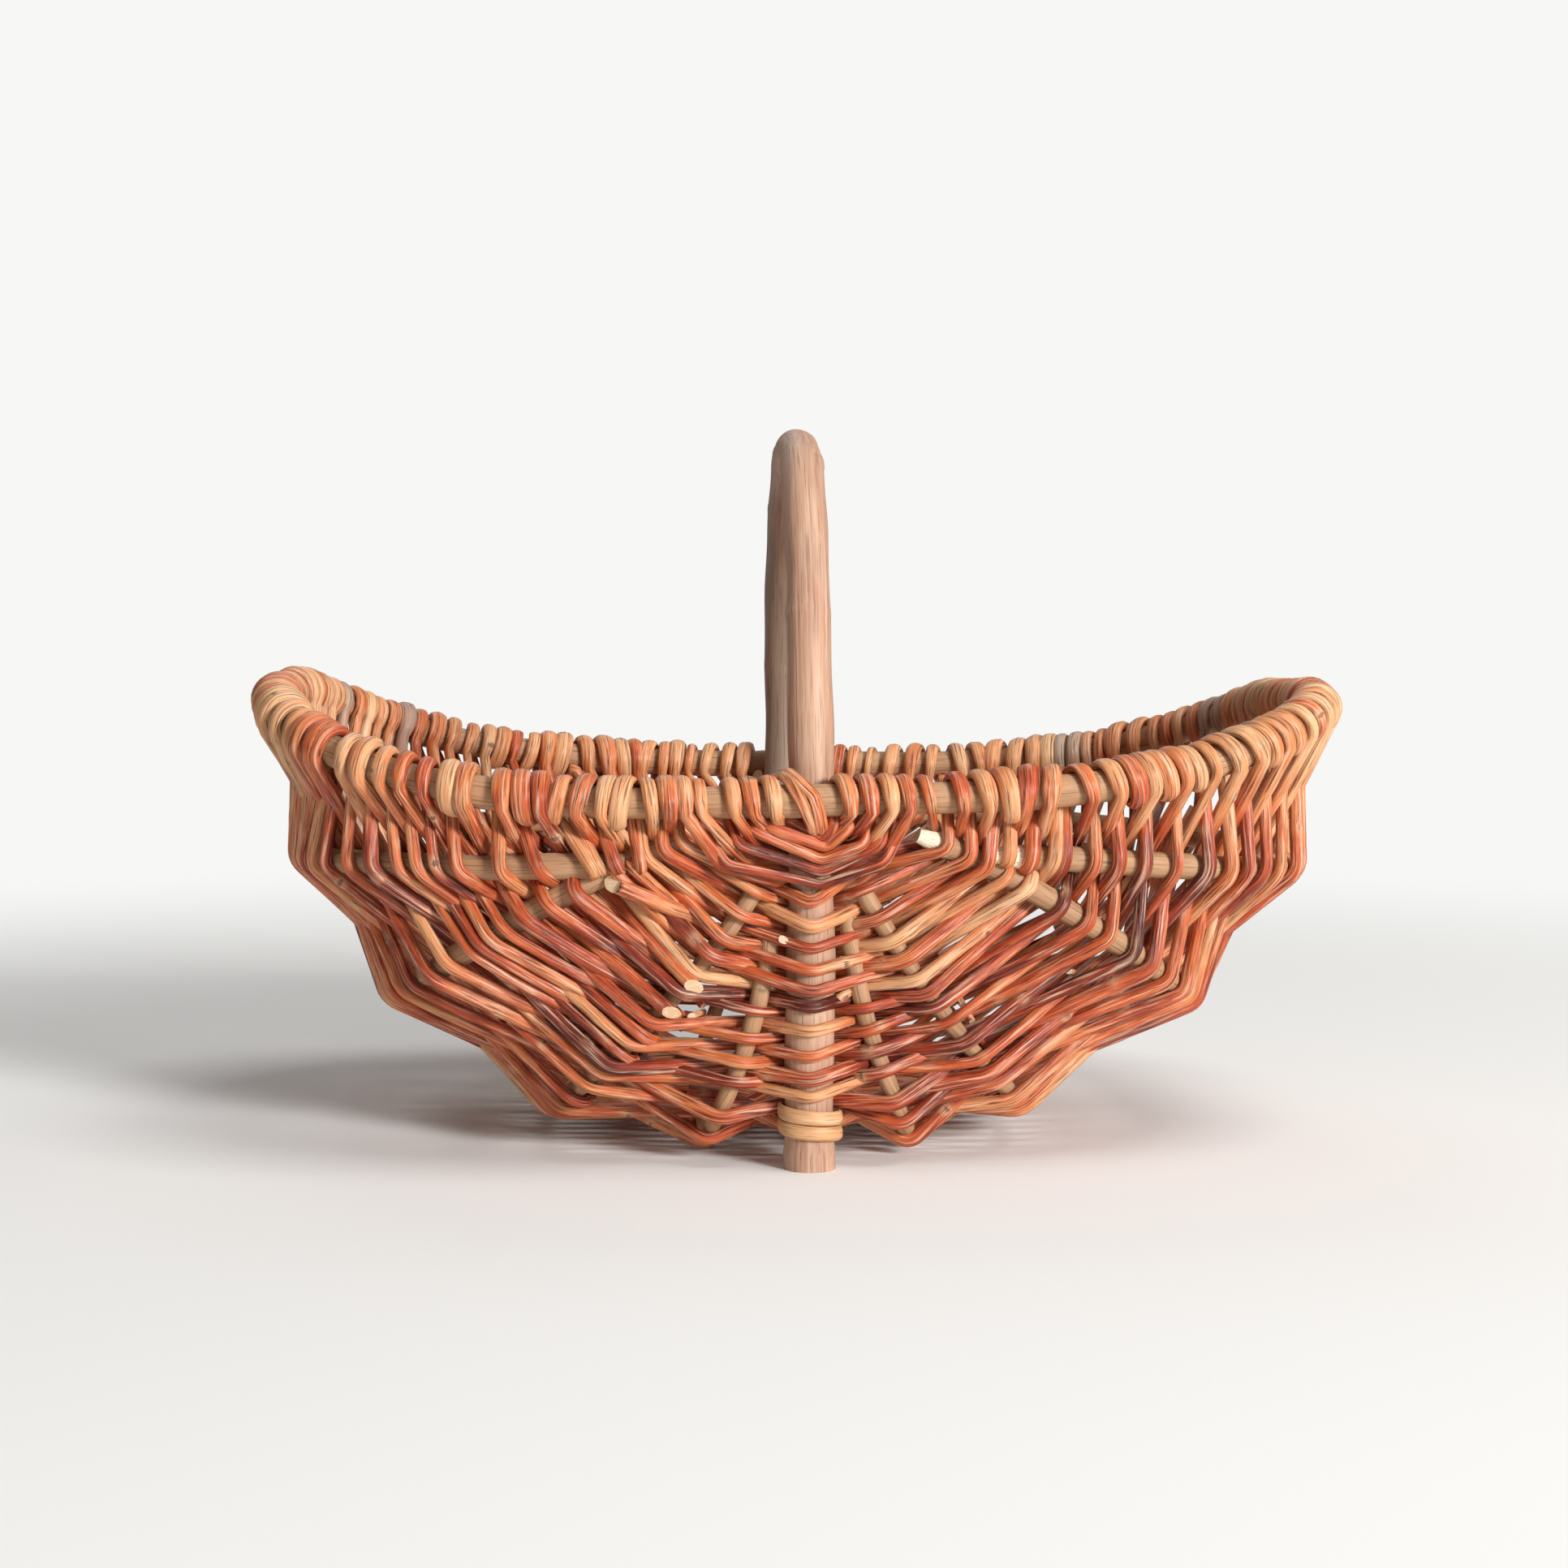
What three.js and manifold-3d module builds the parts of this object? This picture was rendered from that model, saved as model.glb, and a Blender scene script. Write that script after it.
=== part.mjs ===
// Ribbed willow garden basket: a bent rod for the rim, a bent rod for the handle whose cut ends
// are the feet, eight ribs, a keel rib, and willow rods woven from rim to rim.
// Millimetres, +Z up. X runs along the basket and the near side is -Y.
// The origin is on the ground, under the middle of the basket.
import * as THREE from 'three';
import Module from 'manifold-3d';
import { mergeVertices } from 'three/addons/utils/BufferGeometryUtils.js';

const wasm = await Module();
wasm.setup();

// Clearance between pieces that touch
const fitGap = 0.3;

// Rim hoop, measured on its centre line
const rimReach = 230;
const rimHalfWidth = 140;
const rimSquareness = 3.1;
const rimHeight = 151.5;
const rimTipRise = 38;
const rimSweepPower = 3.5;
const rimRack = 3.9;
const rimRodDiameter = 13.5;

// Willow wound round the rim by the weavers that turn back there
const wrapDiameter = 20.5;
const wrapGroove = 1.6;
const wrapsPerQuarter = 28;
const wrapStart = 15.5;

// Handle bow: straight legs up to the spring height, a rounded arch over them, and a rod that
// thickens below the rim towards its feet. The leg share only sets how its steps are dealt out.
const handleDiameter = 18.5;
const footDiameter = 21.4;
const archTop = 312.5;
const archSpring = 170;
const archSquareness = 2.1;
const legShare = 0.45;

// Weavers and the wall that they make. It starts a little out from the legs under the rim, and
// is a little thicker than a weaver between the ribs and thinner than two under the rim.
const weaverDiameter = 5.2;
const weaveStart = 22;
const weaveTopOnLeg = 127;
const weaveUnderRim = 0.4;
const footCorner = 21;
const spanThickness = 2.1;
const rimThickness = 1.6;

// Slots through the wall between the lines, where the weavers leave gaps: bands of them from the
// ear to the middle, each slot a share of its span long and of its band high, and none where it
// would come this near to a rib
const slotBands = 7;
const slotLength = 0.48;
const slotHeight = 0.24;
const slotClearance = 0.8;

// Rows are laid closer on the sides than under the basket: this part of them lies on the
// sides, and each line gives the share of its own length that they take there
const sideRows = 0.6;
const rimSideShare = 0.6;
const legSideShare = 0.47;

// The smooth bowl that the wall's thickness is measured across
const bowlTop = 165;
const bowlDepth = 195;

// Ribs from the rim down. Each lies in a sloping plane that falls from its side drop under the
// rim, beside the leg, to its tip height. Reach and start are shares of the rim's reach, and
// start says how far from the handle the two ends are cut. Width is a share of the rim's half
// width, and heights and drops are shares of the rim's height. The ear drop is where the rib's
// woven line runs as it nears the leg.
const ribs = [
  { name: 'rib_1', diameter: 10.6, flare: { left: 1, right: 1 },
    width: 0.943, squareness: 3.1, earDrop: 0.076, sideShare: 0.6,
    left: { reach: 0.939, tipHeight: 0.838, sideDrop: 0.155, start: 0.452 },
    right: { reach: 0.939, tipHeight: 0.785, sideDrop: 0.102, start: 0.4 } },
  { name: 'rib_2', diameter: 10.4, flare: { left: 0.68, right: 0.7 },
    width: 0.925, squareness: 2.9, earDrop: 0.102, sideShare: 0.54,
    left: { reach: 0.77, tipHeight: 0.429, sideDrop: 0.03, start: 0.226 },
    right: { reach: 0.743, tipHeight: 0.403, sideDrop: 0.03, start: 0.217 } },
  { name: 'rib_3', diameter: 7.4, flare: { left: 1.28, right: 1.28 },
    width: 0.907, squareness: 4, earDrop: 0.116, sideShare: 0.48,
    left: { reach: 0.47, tipHeight: 0.119, sideDrop: 0.116, start: 0.096 },
    right: { reach: 0.409, tipHeight: 0.112, sideDrop: 0.116, start: 0.089 } },
  { name: 'rib_4', diameter: 7.4, flare: { left: 2, right: 2 },
    width: 0.893, squareness: 8, earDrop: 0.135, sideShare: 0.46,
    left: { reach: 0.187, tipHeight: null, sideDrop: 0.135, start: 0.0717 },
    right: { reach: 0.187, tipHeight: null, sideDrop: 0.135, start: 0.066 } },
];
const ribSide = 0.061;
const earReach = 0.26;
const keelDiameter = 9;
const keelHeight = 20;

// Two turns of pale willow round each leg
const collarThickness = 2.8;
const collarWidth = 5.8;
const collarPitch = 6.4;
const collarBase = 16.5;
const collarTurns = 2;

// Two turns of willow tie the rim to each leg
const lashingDiameter = 4;
const lashingPitch = 4.6;
const lashingTurns = 2;
const lashingSlack = 2;
const lashingSquareness = 2.6;

// Sides and steps of the round pieces
const rodSides = 8;
const handleSteps = 36;
const handleSides = 10;
const ribSteps = 18;
const ribSides = 6;
const wrapBoreSteps = 14;
const loopSteps = 24;
const loopSides = 6;

// Sizes that follow from the ones above
const legY = rimHalfWidth - rimRodDiameter / 2 - fitGap - handleDiameter / 2;
const ribSideX = rimReach * ribSide;
for (const rib of ribs) {
  rib.halfWidth = rimHalfWidth * rib.width;
  for (const name of ['left', 'right']) {
    const half = rib[name];
    half.flare = rib.flare[name];
    half.reachX = rimReach * half.reach;
    half.startX = rimReach * half.start;
    half.sideHeight = rimHeight * (1 - half.sideDrop);
    half.lowHeight = half.tipHeight === null ? rib.diameter / 2 + weaverDiameter : rimHeight * half.tipHeight;
    half.earLift = rimHeight * (half.sideDrop - rib.earDrop);
  }
}

// A round-cornered oval: cosine and sine stretched so that x^p + y^p = 1
function oval(angle, squareness) {
  const c = Math.cos(angle);
  const s = Math.sin(angle);
  const size = (Math.abs(c) ** squareness + Math.abs(s) ** squareness) ** (1 / squareness);
  return { c: c / size, s: s / size };
}

// The angle at which the oval's first coordinate has a given share of its reach
function ovalAngle(share, squareness) {
  return Math.atan2((1 - share ** squareness) ** (1 / squareness), share);
}

// Centre line of the rim, once round from the right tip over the far side
class RimLine extends THREE.Curve {
  getPoint(t) {
    const { c, s } = oval(t * 2 * Math.PI, rimSquareness);
    const rise = rimTipRise * Math.abs(c) ** rimSweepPower - rimRack * c * s;
    return new THREE.Vector3(rimReach * c, rimHalfWidth * s, rimHeight + rise);
  }
}

// Centre line of a rib, from start to finish angle: -90 degrees is the near side, 0 the tip
class RibLine extends THREE.Curve {
  constructor(rib, side, from, to) {
    super();
    Object.assign(this, { rib, side, from, to });
  }

  getPoint(t) {
    const { rib, side } = this;
    const half = ribHalf(rib, side);
    const { c, s } = oval(THREE.MathUtils.lerp(this.from, this.to, t), rib.squareness);
    const x = ribSideX + (half.reachX - ribSideX) * Math.abs(c) ** half.flare;
    const z = half.sideHeight + (half.lowHeight - half.sideHeight) * Math.abs(c);
    return new THREE.Vector3(side * x, rib.halfWidth * s, z);
  }
}

function ribHalf(rib, side) {
  return side < 0 ? rib.left : rib.right;
}

function ribAngle(rib, side, x) {
  const half = ribHalf(rib, side);
  const share = ((x - ribSideX) / (half.reachX - ribSideX)) ** (1 / half.flare);
  return ovalAngle(share, rib.squareness);
}

// Centre line of the handle from the near foot over the arch to the far foot
class HandleLine extends THREE.Curve {
  getPoint(t) {
    const rise = archTop - handleDiameter / 2 - archSpring;
    const along = (t - 0.5) * 2;
    if (Math.abs(along) > 1 - legShare) {
      const z = archSpring * (1 - Math.abs(along)) / legShare;
      return new THREE.Vector3(0, Math.sign(along) * legY, z);
    }
    const { c, s } = oval((along / (1 - legShare)) * Math.PI / 2, archSquareness);
    return new THREE.Vector3(0, legY * s, archSpring + rise * c);
  }
}

function handleRadius(z) {
  const rootHeight = THREE.MathUtils.clamp(1 - z / rimHeight, 0, 1);
  return THREE.MathUtils.lerp(handleDiameter, footDiameter, rootHeight) / 2;
}

// Faces between rings of points, with flat ends unless the rings close on themselves
function loft(rings, closed = false) {
  const around = rings[0].length;
  const positions = rings.flat().flatMap((p) => [p.x, p.y, p.z]);
  const index = [];
  const spans = closed ? rings.length : rings.length - 1;
  for (let i = 0; i < spans; i += 1) {
    const here = i * around;
    const next = ((i + 1) % rings.length) * around;
    for (let j = 0; j < around; j += 1) {
      const k = (j + 1) % around;
      index.push(here + j, here + k, next + k, here + j, next + k, next + j);
    }
  }
  if (!closed) {
    const last = (rings.length - 1) * around;
    for (let j = 1; j < around - 1; j += 1) {
      index.push(0, j + 1, j, last, last + j, last + j + 1);
    }
  }
  return outward(positions, index);
}

// A geometry whose faces point out, whichever way its points were given
function outward(positions, index) {
  const at = (i) => new THREE.Vector3(...positions.slice(3 * i, 3 * i + 3));
  let volume = 0;
  for (let i = 0; i < index.length; i += 3) {
    volume += at(index[i]).dot(at(index[i + 1]).cross(at(index[i + 2])));
  }
  const geometry = new THREE.BufferGeometry();
  geometry.setAttribute('position', new THREE.Float32BufferAttribute(positions, 3));
  geometry.setIndex(volume < 0 ? index.reverse() : index);
  return geometry;
}

// A ring of points round a centre, in the plane of two directions
function ring(centre, across, up, width, height, sides) {
  return Array.from({ length: sides }, (_, i) => {
    const angle = (i / sides) * 2 * Math.PI;
    return centre.clone()
      .addScaledVector(across, Math.cos(angle) * width)
      .addScaledVector(up, Math.sin(angle) * height);
  });
}

// A round rod along a curve, its radius given by a function of the point and its ends
// moved out by a little more where it is a clearance
function rod(curve, radiusAt, steps, sides = rodSides, longer = 0) {
  const frames = curve.computeFrenetFrames(steps);
  const rings = frames.tangents.map((tangent, i) => {
    const p = curve.getPointAt(i / steps);
    if (i === 0 || i === steps) {
      p.addScaledVector(tangent, i === 0 ? -longer : longer);
    }
    const radius = radiusAt(p);
    return ring(p, frames.normals[i], frames.binormals[i], radius, radius, sides);
  });
  return loft(rings);
}

// Rings round the rim at given places along it, turned with the rim but kept upright
const rimLine = new RimLine();
rimLine.arcLengthDivisions = 800;
const rimLength = rimLine.getLength();
function rimRings(places, radiusAt) {
  return places.map((u) => {
    const tangent = rimLine.getTangentAt(((u % 1) + 1) % 1);
    const across = new THREE.Vector3(tangent.y, -tangent.x, 0).normalize();
    const up = across.clone().cross(tangent).normalize();
    const centre = rimLine.getPointAt(((u % 1) + 1) % 1);
    return ring(centre, across, up, radiusAt(u), radiusAt(u), rodSides);
  });
}

// The rim's quarters, each from beside a leg to a tip
const quarters = [
  { name: 'near_right', ear: 0.75, way: 1 },
  { name: 'far_right', ear: 0.25, way: -1 },
  { name: 'far_left', ear: 0.25, way: 1 },
  { name: 'near_left', ear: 0.75, way: -1 },
];
function quarterPlaces(quarter, start, end, steps) {
  return Array.from({ length: steps + 1 }, (_, i) => {
    const along = THREE.MathUtils.lerp(start, rimLength / 4 - end, i / steps);
    return quarter.ear + quarter.way * along / rimLength;
  });
}

// The rim rod shares its rings with the bores of the wraps
function rimHoop() {
  const places = quarters.flatMap((quarter) => {
    const bore = quarterPlaces(quarter, wrapStart, 0, wrapBoreSteps).slice(0, -1);
    return [...bore, quarter.way > 0 ? quarter.ear : quarter.ear - 0.25];
  });
  const turns = places.map((u) => ((u % 1) + 1) % 1).sort((a, b) => a - b);
  return loft(rimRings(turns, () => rimRodDiameter / 2), true);
}

// One quarter's wraps: a ridge for each, and a bore for the rim rod
function rimWrap(quarter, grow = 0) {
  const crest = wrapDiameter / 2 + grow;
  const start = wrapStart - grow;
  const end = fitGap / 2 - grow;
  const steps = grow > 0 ? wrapsPerQuarter : 2 * wrapsPerQuarter;
  const outerPlaces = quarterPlaces(quarter, start, end, steps);
  const outer = rimRings(outerPlaces, () => crest);
  if (grow > 0) {
    return loft(outer);
  }
  const grooved = rimRings(outerPlaces, () => crest - wrapGroove);
  const skin = outer.map((r, i) => (i % 2 ? r : grooved[i]));
  const borePlaces = quarterPlaces(quarter, start, end, wrapBoreSteps);
  const bore = rimRings(borePlaces, () => rimRodDiameter / 2 + fitGap);
  return loft([...skin, ...bore.reverse()], true);
}

// The line that the weave follows down a leg and along the keel
class MiddleLine extends THREE.Curve {
  constructor(end) {
    super();
    const foot = new THREE.Vector3(0, end * legY, keelHeight + footCorner);
    const corner = new THREE.Vector3(0, end * legY, keelHeight);
    const keel = new THREE.Vector3(0, end * (legY - footCorner), keelHeight);
    this.path = new THREE.CurvePath();
    this.path.add(new THREE.LineCurve3(new THREE.Vector3(0, end * legY, weaveTopOnLeg), foot));
    this.path.add(new THREE.QuadraticBezierCurve3(foot, corner, keel));
    this.path.add(new THREE.LineCurve3(keel, new THREE.Vector3(0, 0, keelHeight)));
  }

  getPoint(t) {
    return this.path.getPoint(t);
  }
}

// The eleven lines that the weavers cross, from the left rim over the keel to the right rim
function weaveLines(end) {
  const lines = [];
  for (const side of [-1, 1]) {
    const quarter = quarters.find((q) => q.ear === (end < 0 ? 0.75 : 0.25) && q.way === -side * end);
    const rim = {
      share: rimSideShare,
      half: weaverDiameter * rimThickness / 2,
      at: (v) => {
        const along = THREE.MathUtils.lerp(weaveStart, rimLength / 4, v);
        return rimLine.getPointAt((((quarter.ear + quarter.way * along / rimLength) % 1) + 1) % 1);
      },
    };
    const inner = ribs.map((rib, i) => {
      const start = ribSideX + (weaveStart - ribSideX) * (1 - i / ribs.length);
      const line = new RibLine(rib, side, end * ribAngle(rib, side, start), 0);
      const at = (v) => {
        const p = line.getPointAt(v);
        const fromEar = (Math.abs(p.x) - ribSideX) / (rimReach * earReach);
        p.z += ribHalf(rib, side).earLift * Math.exp(-(fromEar ** 2));
        return p;
      };
      return { share: rib.sideShare, half: rib.diameter / 2 + weaverDiameter, at };
    });
    lines.push(side < 0 ? [rim, ...inner] : [...inner.reverse(), rim]);
  }
  const middle = new MiddleLine(end);
  const middleLine = { share: legSideShare, half: 0, at: (v) => middle.getPointAt(v) };
  return [...lines[0], middleLine, ...lines[1]];
}

// Where a row lies along a line, given the share of the line's length on the side
function rowPlace(v, share) {
  if (v < sideRows) {
    return v * share / sideRows;
  }
  return share + (v - sideRows) * (1 - share) / (1 - sideRows);
}

// Half the wall's thickness on a line: on the middle line it goes from the leg's to the keel's
function weaveHalf(line, v) {
  if (line.half > 0) {
    return line.half;
  }
  return (v < sideRows ? footDiameter : keelDiameter) / 2 + weaverDiameter;
}

// Where a row of the weave crosses the lines, its ends moved in from the rim to under the wraps
function rowKnots(lines, v) {
  const knots = lines.map((line) => line.at(rowPlace(v, line.share)));
  const inset = wrapDiameter / 2 + fitGap + weaveUnderRim;
  for (const [a, b] of [[0, 1], [knots.length - 1, knots.length - 2]]) {
    knots[a] = knots[a].clone().add(knots[b].clone().sub(knots[a]).setLength(inset));
  }
  return knots;
}

// The rows that the wall is drawn on: its two ends, and the two sides of each band's slots
function wallRows() {
  const rows = [0];
  for (let j = 0; j < slotBands; j += 1) {
    rows.push((j + 0.5 - slotHeight / 2) / slotBands, (j + 0.5 + slotHeight / 2) / slotBands);
  }
  return [...rows, 1];
}

// The woven wall of one half, before its ribs and legs are let in
function wovenBlank(end) {
  const lines = weaveLines(end);
  const between = weaverDiameter * spanThickness / 2;
  const rows = wallRows().map((v) => {
    const knots = rowKnots(lines, v);
    const halves = lines.map((line) => weaveHalf(line, v));
    return knots.flatMap((p, k) => {
      const knot = { p, half: halves[k], open: false };
      if (k === knots.length - 1) {
        return [knot];
      }
      const bore = Math.max(halves[k], halves[k + 1]) - weaverDiameter;
      const open = p.distanceTo(knots[k + 1]) * (1 - slotLength) / 2 > bore + slotClearance;
      const part = (share) => ({
        p: p.clone().lerp(knots[k + 1], share),
        half: open ? between : THREE.MathUtils.lerp(halves[k], halves[k + 1], share),
        open,
      });
      return [knot, part((1 - slotLength) / 2), { ...part((1 + slotLength) / 2), open: false }];
    });
  });
  return solidFromGrid(rows, end);
}

// The way out of the bowl at a point
function wayOut(p) {
  const down = (p.z - bowlTop) / bowlDepth ** 2;
  return new THREE.Vector3(p.x / rimReach ** 2, p.y / rimHalfWidth ** 2, down).normalize();
}

// A closed wall of given half thickness on both sides of a grid of points, with a slot through
// each square of every other row that starts at an open point
function solidFromGrid(rows, end) {
  const count = rows.length;
  const width = rows[0].length;
  const shift = (sign) => rows.flat().map(({ p, half }) => {
    const q = p.clone().addScaledVector(wayOut(p), sign * half);
    return q.setY(end * Math.max(end * q.y, fitGap / 2));
  });
  const skin = count * width;
  const index = [];
  const quad = (a, b, c, d) => index.push(a, b, c, a, c, d);
  const at = (j, i) => j * width + i;
  for (let j = 0; j < count - 1; j += 1) {
    for (let i = 0; i < width - 1; i += 1) {
      const corners = [at(j, i), at(j, i + 1), at(j + 1, i + 1), at(j + 1, i)];
      if (j % 2 === 1 && rows[j][i].open) {
        corners.forEach((a, n) => {
          const b = corners[(n + 1) % 4];
          quad(a, b, skin + b, skin + a);
        });
      } else {
        quad(...corners);
        quad(...corners.map((a) => skin + a).reverse());
      }
    }
    quad(at(j, 0), at(j + 1, 0), skin + at(j + 1, 0), skin + at(j, 0));
    quad(at(j, width - 1), skin + at(j, width - 1), skin + at(j + 1, width - 1), at(j + 1, width - 1));
  }
  for (let i = 0; i < width - 1; i += 1) {
    quad(at(0, i), skin + at(0, i), skin + at(0, i + 1), at(0, i + 1));
    quad(at(count - 1, i), at(count - 1, i + 1), skin + at(count - 1, i + 1), skin + at(count - 1, i));
  }
  return outward([...shift(1), ...shift(-1)].flatMap((p) => [p.x, p.y, p.z]), index);
}

// Joining and cutting
function toSolid(geometry) {
  const plain = geometry.clone();
  plain.deleteAttribute('normal');
  plain.deleteAttribute('uv');
  const merged = mergeVertices(plain, 1e-4);
  return new wasm.Manifold(new wasm.Mesh({
    numProp: 3,
    vertProperties: new Float32Array(merged.attributes.position.array),
    triVerts: new Uint32Array(merged.index.array),
  }));
}

function toGeometry(solid) {
  const mesh = solid.getMesh();
  const geometry = new THREE.BufferGeometry();
  geometry.setAttribute('position', new THREE.BufferAttribute(mesh.vertProperties, 3));
  geometry.setIndex(new THREE.BufferAttribute(mesh.triVerts, 1));
  return geometry;
}

// Ribs
function ribRod(rib, side, grow = 0) {
  const nearAngle = -ribAngle(rib, side, ribHalf(rib, side).startX);
  const line = new RibLine(rib, side, nearAngle, -nearAngle);
  line.arcLengthDivisions = 400;
  return rod(line, () => rib.diameter / 2 + grow, ribSteps, ribSides, grow);
}

// The keel rib ends against the collars
const collarReach = footDiameter / 2 + 2 * fitGap + collarThickness;
function keelRib(grow = 0) {
  const end = legY - collarReach - fitGap + grow;
  const radius = keelDiameter / 2 + grow;
  const keel = new THREE.CylinderGeometry(radius, radius, 2 * end, rodSides);
  return keel.translate(0, 0, keelHeight);
}

// A strip wound round a leg or round a crossing, as one unbroken tube
class Winding extends THREE.Curve {
  constructor(turns, turnAt, straight) {
    super();
    Object.assign(this, { turns, turnAt, straight });
  }

  getPoint(t) {
    const turn = (t - 0.5) * this.turns;
    return this.turnAt(turn);
  }
}

function windingPoints(winding, steps) {
  const points = Array.from({ length: steps + 1 }, (_, i) => winding.getPoint(i / steps));
  const first = points[0].clone().sub(points[1]).setLength(winding.straight);
  const last = points[steps].clone().sub(points[steps - 1]).setLength(winding.straight);
  return [points[0].clone().add(first), ...points, points[steps].clone().add(last)];
}

function windingTube(winding, axisAt, thickness, width) {
  const points = windingPoints(winding, winding.turns * loopSteps);
  const rings = points.map((p, i) => {
    const ahead = points[Math.min(i + 1, points.length - 1)];
    const behind = points[Math.max(i - 1, 0)];
    const tangent = ahead.clone().sub(behind).normalize();
    const side = axisAt.clone().addScaledVector(tangent, -axisAt.dot(tangent)).normalize();
    const out = tangent.clone().cross(side);
    return ring(p, out, side, thickness / 2, width / 2, loopSides);
  });
  return loft(rings);
}

// Least gap of a winding to itself, measured on its points one turn apart
function windingGap(winding, width) {
  const points = windingPoints(winding, winding.turns * loopSteps);
  let least = Infinity;
  for (let i = 0; i < points.length; i += 1) {
    for (let j = i + loopSteps / 2; j < points.length; j += 1) {
      least = Math.min(least, points[i].distanceTo(points[j]));
    }
  }
  return least - width;
}

function collarWinding(end) {
  const centreZ = collarBase + collarPitch / 2;
  return new Winding(collarTurns, (turn) => {
    const z = centreZ + turn * collarPitch;
    const radius = footDiameter / 2 + fitGap + collarThickness / 2;
    const angle = turn * 2 * Math.PI;
    return new THREE.Vector3(radius * Math.sin(angle), end * (legY - radius * Math.cos(angle)), z);
  }, collarThickness);
}

// The tie runs round rim and leg in the plane of a slanting line and Y
const tieSlant = new THREE.Vector3(1, 0, -1).normalize();
const tieAxis = new THREE.Vector3(1, 0, 1).normalize();
function lashingWinding(end) {
  const clear = fitGap + lashingDiameter / 2;
  const outerY = rimHalfWidth + rimRodDiameter / 2 + clear;
  const innerY = legY - handleDiameter / 2 - clear - fitGap;
  const halfDepth = (outerY - innerY) / 2;
  const halfWidth = (handleDiameter / 2) * Math.SQRT2 + clear + lashingSlack;
  return new Winding(lashingTurns, (turn) => {
    const { c, s } = oval(turn * 2 * Math.PI, lashingSquareness);
    return new THREE.Vector3(0, end * (outerY + innerY) / 2, rimHeight)
      .addScaledVector(tieSlant, (halfWidth + lashingPitch * Math.abs(turn)) * s)
      .addScaledVector(tieAxis, lashingPitch * turn)
      .add(new THREE.Vector3(0, -end * halfDepth * c, 0));
  }, lashingDiameter);
}

// What is let into the woven walls, with clearance
function clearances() {
  const solids = [];
  const handle = rod(new HandleLine(), (p) => handleRadius(p.z) + fitGap, handleSteps, handleSides);
  solids.push(toSolid(handle));
  for (const rib of ribs) {
    for (const side of [-1, 1]) {
      solids.push(toSolid(ribRod(rib, side, fitGap)));
    }
  }
  solids.push(toSolid(keelRib(fitGap)));
  for (const quarter of quarters) {
    solids.push(toSolid(rimWrap(quarter, fitGap)));
  }
  for (const end of [-1, 1]) {
    const collarHeight = (collarTurns + 1) * collarPitch;
    const roomRadius = collarReach + 2 * fitGap;
    const room = new THREE.CylinderGeometry(roomRadius, roomRadius, collarHeight, 16);
    room.rotateX(Math.PI / 2).translate(0, end * legY, collarBase + collarPitch / 2);
    solids.push(toSolid(room));
    const tieRoom = lashingDiameter + 2 * fitGap;
    solids.push(toSolid(windingTube(lashingWinding(end), tieAxis, tieRoom, tieRoom)));
  }
  return solids;
}

function wovenHalf(end, cutters) {
  let wall = toSolid(wovenBlank(end));
  for (const cutter of cutters) {
    wall = wall.subtract(cutter);
  }
  const ground = new THREE.BoxGeometry(4 * rimReach, 4 * rimReach, rimHeight);
  wall = wall.subtract(toSolid(ground.translate(0, 0, -rimHeight / 2)));
  return toGeometry(wall);
}

// Finishes
const finishes = {
  handle: { color: '#b08c6c', roughness: 0.75 },
  rod: { color: '#a07c55', roughness: 0.8 },
  weaver: { color: '#b5652f', roughness: 0.6 },
  tie: { color: '#e0b97c', roughness: 0.65 },
};
function finish(name) {
  const { color, roughness } = finishes[name];
  return new THREE.MeshStandardMaterial({ color: new THREE.Color(color), roughness, metalness: 0 });
}

const basket = new THREE.Group();
function add(name, geometry, finishName) {
  geometry.computeVertexNormals();
  const mesh = new THREE.Mesh(geometry, finish(finishName));
  mesh.name = name;
  basket.add(mesh);
}

add('handle_bow', rod(new HandleLine(), (p) => handleRadius(p.z), handleSteps, handleSides), 'handle');
add('rim_hoop', rimHoop(), 'rod');
for (const rib of ribs) {
  add(`${rib.name}_left`, ribRod(rib, -1), 'rod');
  add(`${rib.name}_right`, ribRod(rib, 1), 'rod');
}
add('keel_rib', keelRib(), 'rod');
for (const quarter of quarters) {
  add(`rim_wrap_${quarter.name}`, rimWrap(quarter), 'weaver');
}
const cutters = clearances();
const up = new THREE.Vector3(0, 0, 1);
for (const [end, name] of [[-1, 'near'], [1, 'far']]) {
  const collar = collarWinding(end);
  add(`leg_collar_${name}`, windingTube(collar, up, collarThickness, collarWidth), 'tie');
  console.log(`leg_collar_${name}: least gap to itself ${windingGap(collar, collarWidth).toFixed(2)} mm`);
  const tie = lashingWinding(end);
  add(`ear_lashing_${name}`, windingTube(tie, tieAxis, lashingDiameter, lashingDiameter), 'weaver');
  console.log(`ear_lashing_${name}: least gap to itself ${windingGap(tie, lashingDiameter).toFixed(2)} mm`);
  add(`woven_body_${name}`, wovenHalf(end, cutters), 'weaver');
}

export default basket;
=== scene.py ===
import math
import random
import bpy
import numpy as np
from mathutils import Matrix, Vector


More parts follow.
